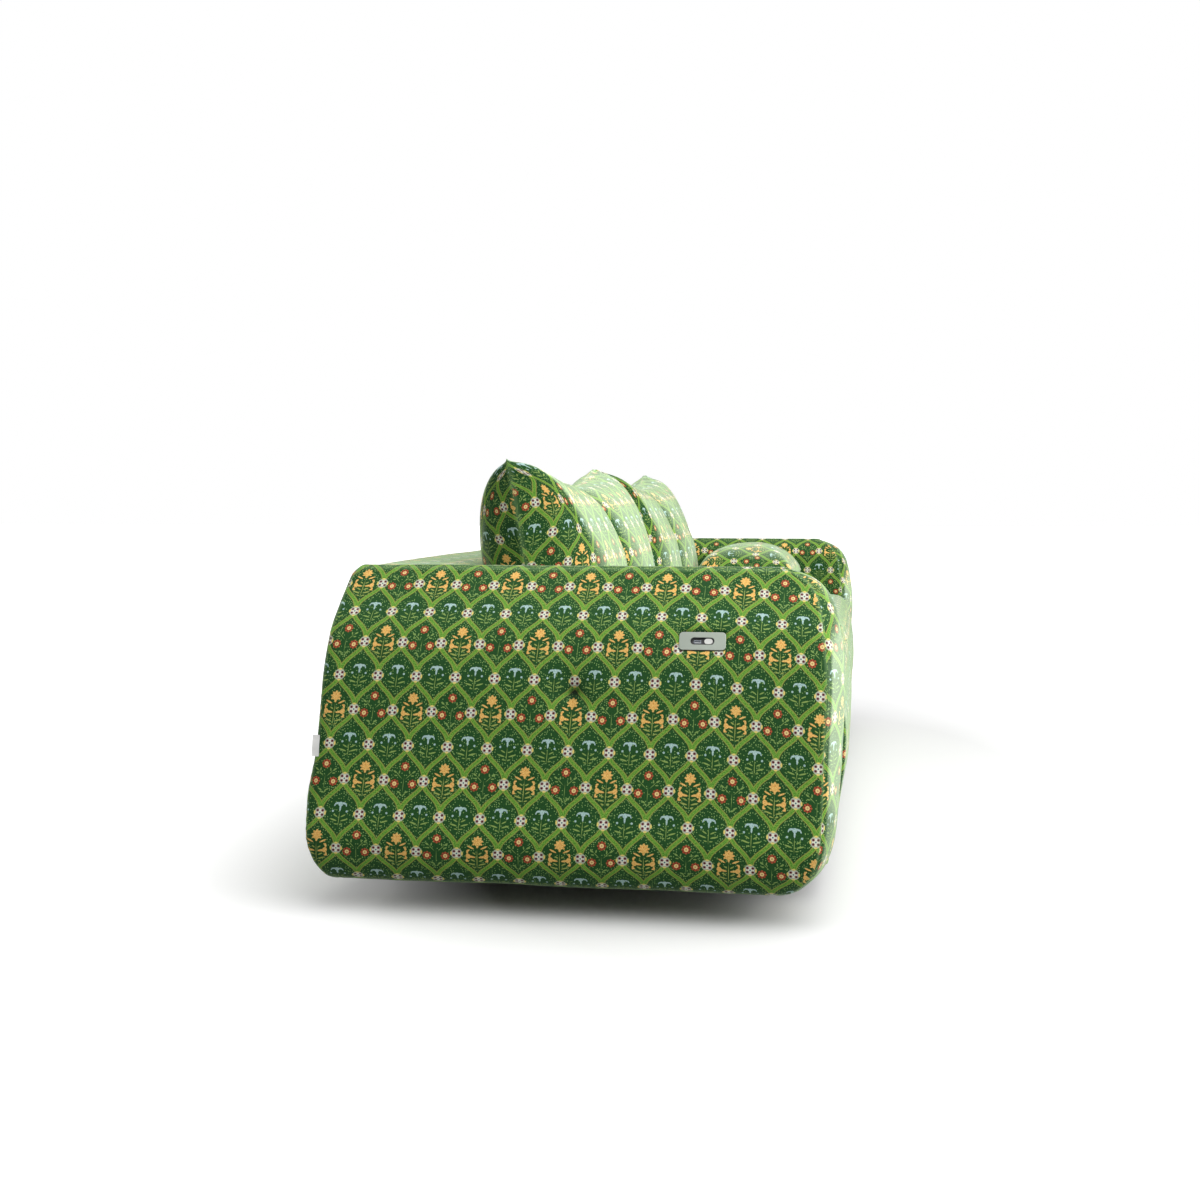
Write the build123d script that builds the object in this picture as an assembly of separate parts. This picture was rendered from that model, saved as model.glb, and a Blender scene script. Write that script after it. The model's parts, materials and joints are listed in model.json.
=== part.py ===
from build123d import *
import math
import os

# A two-seat sofa whose seats slide forward under motor power, in millimetres.
# X runs along the sofa with its left end at -X, -Y is the front and +Z is up.
# The origin is on the floor under the middle. Left pieces are modelled, then mirrored.

# Whole sofa and shared sizes
sofa_length = 2404.0
arm_width = 220.0
cover_thickness = 2.5
board_thickness = 18.0
seat_travel = 230.0
moving_gap = 0.3
overrun = 5.0
half_length = sofa_length / 2
inner_half = half_length - arm_width

# Depths that the arms, the base and the seats share: the back panel behind, the seat fronts before
back_rear_reach = 480.0
back_thickness = 65.0
back_face = back_rear_reach - back_thickness
seat_front = 487.0
apron_depth = 58.0
apron_gap = 14.0
apron_rear = seat_front - apron_depth

# Arms: level sections with bowed ends, a leaning outer face and a buttonless tuft
arm_bottom = 54.0
arm_top = 622.0
arm_front_reach = 453.0
arm_rear_overhang = 8.0
arm_rear_reach = back_rear_reach + arm_rear_overhang
arm_lean = 152.0
arm_crest_round = 50.0
arm_inner_trim = 6.0
arm_front_bow = 30.0
arm_rear_bow = 5.0
tuft_height = 406.0
tuft_radius = 60.0
tuft_depth = 8.0
# each level's height, front, rear, lean, crest and bow
arm_level_shares = (
    (0.000, 0.812, 0.923, 0.342, 0.00, 0.35),
    (0.011, 0.857, 0.941, 0.250, 0.00, 0.40),
    (0.037, 0.901, 0.959, 0.145, 0.00, 0.50),
    (0.081, 0.945, 0.980, 0.053, 0.00, 0.60),
    (0.151, 0.974, 0.996, 0.000, 0.00, 0.70),
    (0.257, 0.985, 1.000, 0.053, 0.00, 0.80),
    (0.433, 0.989, 0.972, 0.138, 0.00, 0.95),
    (0.662, 1.000, 0.963, 0.276, 0.00, 1.00),
    (0.785, 0.987, 0.955, 0.421, 0.00, 0.95),
    (0.891, 0.967, 0.941, 0.684, 0.05, 0.80),
    (0.952, 0.929, 0.929, 0.855, 0.30, 0.60),
    (0.982, 0.881, 0.919, 0.934, 0.62, 0.40),
    (1.000, 0.821, 0.896, 1.000, 1.00, 0.30),
)

# Arm frame: an inner board, ribs, a lower stretcher and a top board, inside one envelope
arm_frame_bottom = 75.0
arm_frame_cap = 67.0
arm_frame_front_pad = 68.0
arm_frame_rear_pad = 58.0
arm_frame_top = arm_top - arm_frame_cap
arm_frame_front = arm_front_reach - arm_frame_front_pad
arm_frame_rear = arm_rear_reach - arm_frame_rear_pad
arm_frame_foot_width = 165.0
arm_frame_head_width = 60.0
arm_frame_shoulder = 300.0
arm_rib_count = 5

# Base rails, corner blocks, feet and dust cloth
base_bottom = 70.0
rail_thickness = 25.0
side_rail_top = 290.0
front_rail_top = 110.0
rear_rail_top = 260.0
centre_rail_width = 40.0
front_rail_face = apron_rear - apron_gap
block_size = 90.0
foot_side_inset = 92.0
foot_end_inset = 85.0
foot_column = inner_half - foot_side_inset
foot_rows = (-front_rail_face + foot_end_inset, back_face - foot_end_inset)
foot_top_radius = 30.0
foot_bottom_radius = 25.0
glide_thickness = 3.0
glide_radius = 20.0
foot_bolt_radius = 4.0
foot_bolt_bottom = 30.0
foot_bolt_top = 104.0
cloth_thickness = 1.0

# Back between the arms: a panel with a bolster along its top
back_bottom = 54.0
back_top = 620.0
back_rear_lean = 20.0
back_round = 26.0
bolster_depth = 230.0
bolster_height = 160.0
bolster_face = back_rear_reach - bolster_depth
bolster_underside = back_top - bolster_height
back_frame_foot = 75.0
back_frame_cap = 40.0
back_frame_top = back_top - back_frame_cap
back_frame_depth = 30.0
back_arm_reach = 110.0
back_arm_underside = bolster_underside + board_thickness
back_post_count = 9
back_rail_height = 60.0

# Seats: a crowned slab with a rounded nose and an apron down its front
seat_gap_to_arm = 4.0
seat_gap_between = 6.0
seat_top = 440.0
seat_crown = 17.0
seat_rear_gap = 15.0
seat_rear = back_face - seat_rear_gap
slab_thickness = 112.5
slab_underside = seat_top - slab_thickness
apron_bottom = 62.0
seat_edge_round = 16.0
# how far along its end rounding a section lies, and how far it is drawn in there
seat_edge_shares = ((0.0, 1.0), (0.08, 0.61), (0.3, 0.29), (0.6, 0.08), (1.0, 0.0))
# places on the front curve: the share of the front reach and of the seat's full height
seat_crown_rear = 60.0
seat_crown_middle = 250.0
seat_nose_depth = 75.0
seat_crown_front = seat_front - seat_nose_depth
crown_middle_share = 0.92
nose_shares = ((0.930, 0.972), (0.972, 0.900))
front_shares = ((1.0, 0.628), (0.977, 0.359))
apron_shares = ((0.9614, 0.240), (0.938, 0.084), (0.914, 0.0))

# Seat frame, webbing, side boards and front board
frame_rail = 25.0
seat_frame_inset = 10.0
seat_frame_rear = seat_rear - seat_frame_inset
frame_side_lap = 5.7
cross_rail_place = 75.0
webbing_thickness = 2.5
webbing_width = 60.0
webbing_count = 8
side_board_bottom = 115.0
side_board_inset = 100.0
side_board_rear = seat_rear - side_board_inset
front_board_bottom = 120.0
front_board_inset = 20.0

# Slides: three nested channels between a rail and a seat's side board
slide_width = 12.7
slide_height = 45.7
slide_length = 550.0
slide_inset = 15.0
slide_front = front_rail_face - slide_inset
slide_axis_height = 223.0
slide_wall = 1.5
slide_play = 0.4
slide_flange = 9.0

# Linear actuators under the seats
actuator_height = 235.0
actuator_radius = 16.0
rod_radius = 10.0
rod_guide = 40.0
tube_end = 20.0
rear_pin_inset = 22.0
rear_neck = 18.0
rear_pin_place = back_face - rail_thickness - rear_pin_inset
actuator_rear = rear_pin_place - rear_neck
rod_tail = actuator_rear - tube_end
actuator_front = rod_tail - seat_travel - rod_guide
eye_radius = 13.0
eye_width = 19.0
pin_radius = 5.0
pin_play = 0.1
pin_length = 36.0
lug_thickness = 5.0
lug_play = 1.0
lug_half_depth = 14.0
mount_plate_height = 60.0
gearbox_size = 56.0
gearbox_length = 50.0
motor_radius = 20.0
motor_length = 120.0
motor_offset = 43.0
gearbox_reach = 19.0

# Control box on the rear rail
control_box_place = 250.0
control_box_width = 150.0
control_box_depth = 40.0
control_box_height = 80.0
control_box_bottom = 90.0
inlet_radius = 6.0
inlet_bore = 3.0
inlet_length = 8.0

# Bolts that join the arms and the back to the base
bolt_radius = 4.0
bolt_play = 0.2
bolt_head_radius = 8.0
bolt_head_height = 5.0
bolt_end = 6.0
arm_bolt_rows = (140.0, 268.0)
arm_bolt_inset = 65.0
arm_bolt_places = (-front_rail_face + arm_bolt_inset, 0.0, back_face - arm_bolt_inset)
back_bolt_height = 150.0
# places along the back, as shares of half its width
back_bolt_shares = (-0.713, -0.3055, 0.3055, 0.713)

# Control on each arm: plate, housing, rocker, pin, switch board and charging socket
control_place = 230.0
control_drop = 125.0
control_height = arm_top - control_drop
plate_width = 84.0
plate_height = 34.0
plate_thickness = 3.0
plate_round = 7.0
plate_edge_round = 0.8
plate_sink = 1.5
slot_width = 43.0
slot_height = 13.5
housing_width = 58.0
housing_height = 24.0
housing_depth = 28.0
housing_wall = 2.0
well_depth = 2.0
well_floor = 2.0
rocker_place = 10.8
rocker_width = 15.0
rocker_height = 10.0
rocker_top = 1.5
rocker_play = 0.4
rocker_cap_bottom = 4.0
rocker_pivot_depth = 6.0
rocker_hub_radius = 2.4
rocker_pin_radius = 0.75
rocker_pin_play = 0.1
rocker_foot_place = 5.0
rocker_foot_size = 1.6
rocker_foot_end = 13.6
rocker_dot_radius = 0.9
rocker_dot_depth = 0.4
rocker_dot_place = 3.4
board_depth = 19.0
circuit_thickness = 1.6
switch_size = 6.0
switch_gap = 0.45
socket_place = -9.2
socket_width = 12.5
socket_height = 5.1
socket_wall = 0.4
socket_depth = 15.0
tongue_width = 10.0
tongue_thickness = 1.8
tongue_length = 11.0

# Blank sewn tag at the left arm's rear seam
tag_width = 14.0
tag_height = 38.0
tag_thickness = 0.6
tag_middle_height = 307.0
tag_inset = 12.0
tag_place = arm_rear_reach - tag_inset
tag_lift = 0.3

# Loose cushions
cushion_gap = 0.3
pillow_height = 391.0
pillow_front_depth = 137.0
pillow_rear_depth = 125.0
pillow_sag = 42.0
pillow_draw = 25.0
pillow_lean = 8.4
pillow_foot_inset = 134.6
pillow_foot_place = bolster_face - pillow_foot_inset
pillow_left_inset = 38.0
pillow_right_inset = 92.0
pillow_left_width = inner_half - pillow_left_inset
pillow_right_width = inner_half - pillow_right_inset
pillow_arm_gap = 14.0
pillow_between_gap = 8.0
crease_width = 40.0
crease_lean = 28.7
crease_inset = 51.4
crease_place = pillow_foot_place - crease_inset
crease_height = 238.0
scatter_width = 460.0
scatter_length = 307.0
scatter_up = 86.0
scatter_down = 90.0
scatter_sag = 18.0
scatter_draw = 14.0
scatter_inset = 252.0
scatter_place_x = inner_half - scatter_inset
scatter_rear_inset = 287.4
scatter_place_y = pillow_foot_place - scatter_rear_inset
scatter_lift = 1.2
scatter_seam_height = seat_top + scatter_down
# each layer's depth, low edge, high edge, half width, and bend of its sides
cushion_layer_shares = (
    (0.12, -0.02, 0.968, 0.970, 0.75),
    (0.28, -0.04, 0.936, 0.940, 0.40),
    (0.52, -0.05, 0.830, 0.890, 0.10),
    (0.74, -0.04, 0.640, 0.820, -0.20),
    (0.92, 0.00, 0.510, 0.720, -0.45),
    (1.00, 0.10, 0.400, 0.600, -0.60),
)

os.makedirs("parts", exist_ok=True)


def save(name, *shapes):
    """Writes one node, as one solid or as a group of separate solids."""
    solids = [solid for shape in shapes for solid in shape.solids()]
    export_step(solids[0] if len(solids) == 1 else Compound(solids), f"parts/{name}.step")


def save_pair(name, *shapes):
    """Writes a left node and its mirror image on the right."""
    save(f"{name}_left", *shapes)
    save(f"{name}_right", *(mirror(shape, about=Plane.YZ) for shape in shapes))


def save_both(name, *shapes):
    """Writes left pieces and their mirror images as one group."""
    save(name, *shapes, *(mirror(shape, about=Plane.YZ) for shape in shapes))


def block(x, y, z):
    """A block between two places on each axis, given in any order."""
    spans = [sorted(span) for span in (x, y, z)]
    size = [high - low for low, high in spans]
    corner = [low for low, high in spans]
    return Pos(*corner) * Box(*size, align=(Align.MIN, Align.MIN, Align.MIN))


def bar(radius, start, end):
    """A round bar from one point to another."""
    way = Vector(*end) - Vector(*start)
    return Solid.make_cylinder(radius, way.length, Plane(origin=start, z_dir=way))


def prism(points, start, end):
    """An outline in Y and Z, run along X between two places."""
    outline = Wire.make_polygon([(start, y, z) for y, z in points])
    return extrude(Face(outline), amount=end - start, dir=(1, 0, 0))


def across(points, start, end):
    """An outline in X and Z, run along Y between two places."""
    outline = Wire.make_polygon([(x, start, z) for x, z in points])
    return extrude(Face(outline), amount=end - start, dir=(0, 1, 0))


# Arms


def arm_body(skin):
    """The left arm's outer form, drawn in by a skin all round."""
    sections = []
    for height, front, rear, lean, crest, bow in arm_level_shares:
        z = arm_bottom + skin + height * (arm_top - arm_bottom - 2 * skin)
        outer = -half_length + lean * arm_lean + skin
        inner = -inner_half - crest * arm_crest_round + arm_inner_trim - skin
        front_y = -front * arm_front_reach + skin
        rear_y = rear * arm_rear_reach - skin
        middle = (outer + inner) / 2
        corners = [(outer, rear_y, z), (outer, front_y, z), (inner, front_y, z), (inner, rear_y, z)]
        sections.append(
            Wire(
                [
                    Line(corners[0], corners[1]),
                    ThreePointArc(corners[1], (middle, front_y - bow * arm_front_bow, z), corners[2]),
                    Line(corners[2], corners[3]),
                    ThreePointArc(corners[3], (middle, rear_y + bow * arm_rear_bow, z), corners[0]),
                ]
            )
        )
    body = Solid.make_loft(sections, ruled=True)
    reach = arm_rear_reach + overrun + arm_rear_bow
    body = body - block((-inner_half - skin, 0), (-reach, reach), (0, arm_top + overrun))
    tuft_x = arm_face(tuft_height) - tuft_radius + tuft_depth
    return body - Pos(tuft_x, 0, tuft_height) * Sphere(tuft_radius + skin)


def arm_face(z):
    """The X of the left arm's outer face at a height."""
    share = (z - arm_bottom) / (arm_top - arm_bottom)
    levels = [(level[0], level[3]) for level in arm_level_shares]
    for (low, low_lean), (high, high_lean) in zip(levels, levels[1:]):
        if low <= share <= high:
            lean = low_lean + (high_lean - low_lean) * (share - low) / (high - low)
    return -half_length + lean * arm_lean


def arm_envelope():
    """The space of the arm's frame, which the foam leaves free."""
    inner = -inner_half - cover_thickness
    points = [
        (inner, arm_frame_bottom),
        (inner, arm_frame_top),
        (inner - arm_frame_head_width, arm_frame_top),
        (inner - arm_frame_foot_width, arm_frame_shoulder),
        (inner - arm_frame_foot_width, arm_frame_bottom),
    ]
    return across(points, -arm_frame_front, arm_frame_rear)


def arm_frame():
    """Inner board, five ribs, a lower stretcher and a top board, glued up."""
    inner = -inner_half - cover_thickness
    run = (-arm_frame_front, arm_frame_rear)
    height = (arm_frame_bottom, arm_frame_top)
    envelope = arm_envelope()
    frame = block((inner, inner - board_thickness), run, height)
    foot = inner - arm_frame_foot_width
    frame += block((foot, foot + board_thickness), run, (arm_frame_bottom, arm_frame_shoulder))
    head = (inner, inner - arm_frame_head_width)
    frame += block(head, run, (arm_frame_top - board_thickness, arm_frame_top))
    pitch = (arm_frame_front + arm_frame_rear - board_thickness) / (arm_rib_count - 1)
    for rib in range(arm_rib_count):
        start = -arm_frame_front + rib * pitch
        frame += envelope & block((inner, foot), (start, start + board_thickness), height)
    return frame - arm_bolts(bolt_radius + bolt_play)


def arm_bolts(radius):
    """The shanks of the left arm's bolts, or their holes at a larger radius."""
    start = -inner_half + rail_thickness
    end = -inner_half - cover_thickness - board_thickness - bolt_end
    places = [(y, z) for y in arm_bolt_places for z in arm_bolt_rows]
    return [bar(radius, (start, y, z), (end, y, z)) for y, z in places]


def arm_bolt_heads():
    """The heads of the left arm's bolts, on the inner face of the side rail."""
    start = -inner_half + rail_thickness
    places = [(y, z) for y in arm_bolt_places for z in arm_bolt_rows]
    end = start + bolt_head_height
    return [bar(bolt_head_radius, (start, y, z), (end, y, z)) for y, z in places]


# Control on an arm, drawn with X to the right and Z out of the arm, then set on its face


def face_plane(y, z, span, sink):
    """A plane on the left arm's leaning outer face, sunk into it: X to the front, Z outward."""
    low = arm_face(z - span / 2)
    high = arm_face(z + span / 2)
    lean = math.atan2(high - low, span)
    outward = Vector(-math.cos(lean), 0, math.sin(lean))
    return Plane(origin=Vector((low + high) / 2, y, z) - outward * sink, x_dir=(0, -1, 0), z_dir=outward)


def on_arm(shape):
    """Moves a control piece from its own drawing onto the left arm."""
    return face_plane(-control_place, control_height, plate_height, plate_sink).location * shape


def slab(shape, low, high):
    """A flat outline given thickness between two depths."""
    return Pos(0, 0, low) * extrude(shape, amount=high - low)


def control_plate():
    """The metal plate with its long round-ended opening."""
    plate = slab(RectangleRounded(plate_width, plate_height, plate_round), 0, plate_thickness)
    plate = fillet(plate.faces().sort_by(Axis.Z)[-1].edges(), plate_edge_round)
    return plate - slab(SlotOverall(slot_width, slot_height), -overrun, plate_thickness + overrun)


def control_pocket():
    """The room that the plate and the housing take in the arm."""
    plate = RectangleRounded(plate_width, plate_height, plate_round)
    housing = Rectangle(housing_width, housing_height)
    return slab(plate, 0, plate_thickness + overrun) + slab(housing, -housing_depth, overrun)


def rocker_outline(play):
    """The rocker's round-ended outline, or its opening with play all round."""
    return Pos(rocker_place, 0) * SlotOverall(rocker_width + 2 * play, rocker_height + 2 * play)


def rocker_axis(radius, half_span):
    """A bar on the rocker's pivot, which runs up and down the plate."""
    start = (rocker_place, -half_span, -rocker_pivot_depth)
    return bar(radius, start, (rocker_place, half_span, -rocker_pivot_depth))


def control_housing():
    """The plastic housing: a shallow well, a floor with openings and a room behind."""
    wall = 2 * housing_wall
    housing = slab(Rectangle(housing_width, housing_height), -housing_depth, 0)
    housing -= slab(SlotOverall(slot_width, slot_height), -well_depth, overrun)
    room_top = -well_depth - well_floor
    room = Rectangle(housing_width - wall, housing_height - wall)
    housing -= slab(room, -housing_depth + housing_wall, room_top)
    half_pin = rocker_height / 2 + housing_wall
    ear_size = 2 * rocker_hub_radius + housing_wall
    for side in (-1, 1):
        middle = side * (half_pin + rocker_play)
        ear = Pos(rocker_place, middle) * Rectangle(ear_size, housing_wall)
        housing += slab(ear, -rocker_pivot_depth - rocker_hub_radius, room_top)
    housing -= rocker_axis(rocker_pin_radius, rocker_height)
    housing -= slab(rocker_outline(rocker_play), -well_depth - well_floor, overrun)
    opening = Pos(socket_place, 0) * Rectangle(socket_width, socket_height)
    return housing - slab(opening, -well_depth - well_floor, overrun)


def rocker():
    """The two-way button: a cap with two dots, a hub on the pin and two feet."""
    cap = slab(rocker_outline(0), -rocker_cap_bottom, rocker_top)
    for side in (-1, 1):
        dot = Pos(rocker_place + side * rocker_dot_place, 0) * Circle(rocker_dot_radius)
        cap -= slab(dot, rocker_top - rocker_dot_depth, rocker_top + overrun)
        foot = Pos(rocker_place + side * rocker_foot_place, 0) * Rectangle(rocker_foot_size, rocker_foot_size)
        cap += slab(foot, -rocker_foot_end, -rocker_cap_bottom)
    hub_half = rocker_height / 2 - rocker_foot_size
    cap += rocker_axis(rocker_hub_radius, hub_half)
    stem = Pos(rocker_place, 0) * Rectangle(rocker_hub_radius, 2 * hub_half)
    cap += slab(stem, -rocker_pivot_depth, -rocker_cap_bottom)
    return cap - rocker_axis(rocker_pin_radius + rocker_pin_play, rocker_height)


def rocker_pin():
    """The pin that the rocker turns on, held in the housing's two ears."""
    return rocker_axis(rocker_pin_radius, rocker_height / 2 + 2 * housing_wall)


def switch_board():
    """The circuit board across the housing, with a push switch under each foot."""
    wall = 2 * housing_wall
    board = Rectangle(housing_width - wall, housing_height - wall)
    board = slab(board, -board_depth - circuit_thickness, -board_depth)
    for side in (-1, 1):
        switch = Pos(rocker_place + side * rocker_foot_place, 0) * Rectangle(switch_size / 2, switch_size)
        board += slab(switch, -board_depth, -rocker_foot_end - switch_gap)
    return board


def charging_socket():
    """The socket's metal shell, from the well's floor back to the circuit board."""
    outer = Pos(socket_place, 0) * Rectangle(socket_width, socket_height)
    inner = Pos(socket_place, 0) * Rectangle(socket_width - 2 * socket_wall, socket_height - 2 * socket_wall)
    shell = slab(outer, -board_depth, -well_depth)
    return shell - slab(inner, -well_depth - socket_depth, overrun)


def socket_tongue():
    """The plastic tongue inside the socket, standing on the shell's closed end."""
    tongue = Pos(socket_place, socket_wall) * Rectangle(tongue_width, tongue_thickness)
    end = -well_depth - socket_depth
    return slab(tongue, end, end + tongue_length)


# Base


def side_rail():
    """The upright rail that the left arm is bolted to."""
    rail = block(
        (-inner_half, -inner_half + rail_thickness),
        (-front_rail_face, back_face),
        (base_bottom, side_rail_top),
    )
    return rail - arm_bolts(bolt_radius + bolt_play)


def cross_rail(y, top):
    """A rail between the two side rails."""
    reach = inner_half - rail_thickness
    return block((-reach, reach), y, (base_bottom, top))


def foot_places():
    """The six feet, from the left row to the right."""
    return [(x, y) for x in (-foot_column, 0, foot_column) for y in foot_rows]


def foot_bolt(x, y, radius):
    """A foot's bolt, or its hole at a larger radius."""
    return bar(radius, (x, y, foot_bolt_bottom), (x, y, foot_bolt_top))


def corner_block(x, y):
    """A block above a foot, run out to the side rail beside it, or past the centre rail."""
    half = block_size / 2
    outer = inner_half - rail_thickness
    low, high = {-1: (-outer, x + half), 0: (-half, half), 1: (x - half, outer)}[(x > 0) - (x < 0)]
    wood = block((low, high), (y - half, y + half), (base_bottom, front_rail_top))
    wood -= block((-centre_rail_width / 2, centre_rail_width / 2), (y - half, y + half), (0, side_rail_top))
    return wood - foot_bolt(x, y, foot_bolt_radius)


def foot(x, y):
    """A tapered foot with its bolt's hole."""
    height = base_bottom - glide_thickness
    cone = Cone(foot_bottom_radius, foot_top_radius, height, align=(Align.CENTER, Align.CENTER, Align.MIN))
    return Pos(x, y, glide_thickness) * cone - foot_bolt(x, y, foot_bolt_radius)


def dust_cloth():
    """The thin cloth under the rails, cut out round the feet."""
    cloth = block(
        (-inner_half, inner_half),
        (-front_rail_face, back_face),
        (base_bottom - cloth_thickness, base_bottom),
    )
    for x, y in foot_places():
        cloth -= bar(foot_top_radius, (x, y, 0), (x, y, base_bottom + overrun))
    return cloth


# Back


def back_outline(skin):
    """The back's outline in Y and Z, drawn in by a skin."""
    lean = back_rear_reach - back_rear_lean - skin
    rear = back_rear_reach - skin
    corners = [
        (back_face + skin, back_bottom + skin),
        (rear, back_bottom + skin),
        (rear, arm_frame_shoulder),
        (lean, back_top - skin),
        (bolster_face + skin, back_top - skin),
        (bolster_face + skin, bolster_underside + skin),
        (back_face + skin, bolster_underside + skin),
    ]
    outline = Polyline([(0, y, z) for y, z in corners], close=True)
    rounded = [corners[index] for index in (1, 3, 4, 5)]
    face = Face(Wire(outline.edges()))
    corner_of = [min(face.vertices(), key=lambda v: math.hypot(v.Y - y, v.Z - z)) for y, z in rounded]
    return face.fillet_2d(back_round - skin, corner_of)


def back_body(skin):
    """The back's form between the arms."""
    face = Pos(-inner_half, 0, 0) * back_outline(skin)
    return extrude(face, amount=2 * inner_half, dir=(1, 0, 0))


def back_envelope():
    """The space of the back's frame, which the foam leaves free."""
    front = back_face + cover_thickness
    points = [
        (front, back_frame_foot),
        (front + back_frame_depth, back_frame_foot),
        (front + back_frame_depth, back_frame_top),
        (front - back_arm_reach, back_frame_top),
        (front - back_arm_reach, back_arm_underside),
        (front, back_arm_underside),
    ]
    return prism(points, -inner_half, inner_half)


def back_frame():
    """Posts with arms into the bolster, joined by a foot rail and two upper boards."""
    front = back_face + cover_thickness
    rear = front + back_frame_depth
    everywhere = (-inner_half, inner_half)
    envelope = back_envelope()
    reach = front - back_arm_reach
    foot = (back_frame_foot, back_frame_foot + back_rail_height)
    bolted = (back_bolt_height - board_thickness, back_bolt_height + back_rail_height)
    frame = block(everywhere, (front, rear), foot)
    frame += block(everywhere, (front, rear), bolted)
    frame += block(everywhere, (reach, rear), (back_frame_top - board_thickness, back_frame_top))
    frame += block(everywhere, (reach, front), (back_arm_underside, back_arm_underside + board_thickness))
    pitch = (2 * inner_half - rail_thickness) / (back_post_count - 1)
    for post in range(back_post_count):
        start = -inner_half + post * pitch
        cut = block((start, start + rail_thickness), (bolster_face, rear), (0, back_frame_top))
        frame += envelope & cut
    return frame - back_bolts(bolt_radius + bolt_play)


def back_bolts(radius):
    """The shanks of the back's bolts, or their holes at a larger radius."""
    start = back_face - rail_thickness
    end = back_face + cover_thickness + back_frame_depth - bolt_end
    places = [share * inner_half for share in back_bolt_shares]
    return [bar(radius, (x, start, back_bolt_height), (x, end, back_bolt_height)) for x in places]


def back_bolt_heads():
    """The heads of the back's bolts, on the front face of the rear rail."""
    start = back_face - rail_thickness
    end = start - bolt_head_height
    places = [share * inner_half for share in back_bolt_shares]
    return [bar(bolt_head_radius, (x, start, back_bolt_height), (x, end, back_bolt_height)) for x in places]


# Seats, drawn for the left one


seat_outer = -inner_half + seat_gap_to_arm
seat_inner = -seat_gap_between / 2
seat_middle = (seat_outer + seat_inner) / 2
seat_half_width = (seat_inner - seat_outer) / 2


def seat_section(x, draw, skin, below):
    """A seat's outline at a place along the sofa: its slab, nose, front and apron."""
    drawn = draw * seat_edge_round + skin
    top = seat_top - drawn
    crown = seat_crown * (1 - draw / 2) + top

    def front(share, height_share):
        full = seat_top + seat_crown - apron_bottom - skin
        return (x, -share * seat_front + drawn, apron_bottom + skin + height_share * (full - drawn))

    rear = seat_rear - skin
    apron = -apron_rear + below
    under = slab_underside - below
    flat_end = (x, -seat_crown_rear, top)
    crown_middle = (x, -seat_crown_middle, top + crown_middle_share * (crown - top))
    crown_front = (x, -seat_crown_front + drawn, crown)
    nose = [front(*shares) for shares in nose_shares]
    face = [front(*shares) for shares in front_shares]
    hem = [front(*shares) for shares in apron_shares]
    return Wire(
        [
            Line((x, rear, under), (x, rear, top)),
            Line((x, rear, top), flat_end),
            ThreePointArc(flat_end, crown_middle, crown_front),
            ThreePointArc(crown_front, nose[0], nose[1]),
            ThreePointArc(nose[1], face[0], face[1]),
            Line(face[1], hem[0]),
            ThreePointArc(hem[0], hem[1], hem[2]),
            Line(hem[2], (x, apron, hem[2][2])),
            Line((x, apron, hem[2][2]), (x, apron, under)),
            Line((x, apron, under), (x, rear, under)),
        ]
    )


def seat_body(skin, below):
    """A seat's form, drawn in by a skin, with its ends rounded over."""
    half = seat_half_width - skin
    sections = []
    for side, shares in ((-1, seat_edge_shares), (1, reversed(seat_edge_shares))):
        for along, draw in shares:
            x = seat_middle + side * (half - along * seat_edge_round)
            sections.append(seat_section(x, draw, skin, below))
    return Solid.make_loft(sections, ruled=True)


def seat_cover():
    """The sewn cover: open under the slab and behind the apron."""
    return seat_body(0, 0) - seat_body(cover_thickness, overrun)


def seat_filling(y, z):
    """What lies inside the cover between two places in Y and two in Z."""
    return seat_body(cover_thickness, 0) & block((seat_outer, seat_inner), y, z)


def side_board_spans():
    """The two side boards' places in X: beside the side rail's slide and the centre rail's."""
    outer = -inner_half + rail_thickness + slide_width
    inner = -centre_rail_width / 2 - slide_width
    return ((outer, outer + board_thickness), (inner - board_thickness, inner))


def side_boards():
    """The two boards that carry a seat on its slides."""
    run = (-apron_rear, side_board_rear)
    height = (side_board_bottom, slab_underside - webbing_thickness - frame_rail)
    return [block(span, run, height) for span in side_board_spans()]


def seat_frame():
    """A ring of square hardwood rails with one cross rail."""
    top = slab_underside - webbing_thickness
    height = (top - frame_rail, top)
    (outer, _), (_, inner) = side_board_spans()
    outer -= frame_side_lap
    inner += frame_side_lap
    front = -apron_rear
    ring = block((outer, inner), (front, seat_frame_rear), height)
    ring -= block(
        (outer + frame_rail, inner - frame_rail),
        (front + frame_rail, seat_frame_rear - frame_rail),
        height,
    )
    cross = (-cross_rail_place - frame_rail / 2, -cross_rail_place + frame_rail / 2)
    return ring + block((outer, inner), cross, height)


def seat_webbing():
    """Elastic straps across the seat frame."""
    (outer, _), (_, inner) = side_board_spans()
    height = (slab_underside - webbing_thickness, slab_underside)
    first = -apron_rear + webbing_width / 2
    pitch = (seat_frame_rear - webbing_width - first - webbing_width / 2) / (webbing_count - 1)
    starts = [first + strap * pitch for strap in range(webbing_count)]
    return [block((outer, inner), (start, start + webbing_width), height) for start in starts]


def front_board():
    """The board behind the apron, in front of the side boards."""
    return block(
        (seat_outer + front_board_inset, seat_inner - front_board_inset),
        (-apron_rear - board_thickness, -apron_rear),
        (front_board_bottom, slab_underside),
    )


# Slides


def channel(back, depth, half_height, towards, face):
    """One slide member: a web with two flanges, on a side of the rail's face."""
    web = (face + towards * back, face + towards * (back + slide_wall))
    lips = (face + towards * back, face + towards * (back + depth))
    run = (-slide_front, -slide_front + slide_length)
    low = slide_axis_height - half_height
    high = slide_axis_height + half_height
    member = block(web, run, (low, high))
    member += block(lips, run, (low, low + slide_wall))
    return member + block(lips, run, (high - slide_wall, high))


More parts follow.
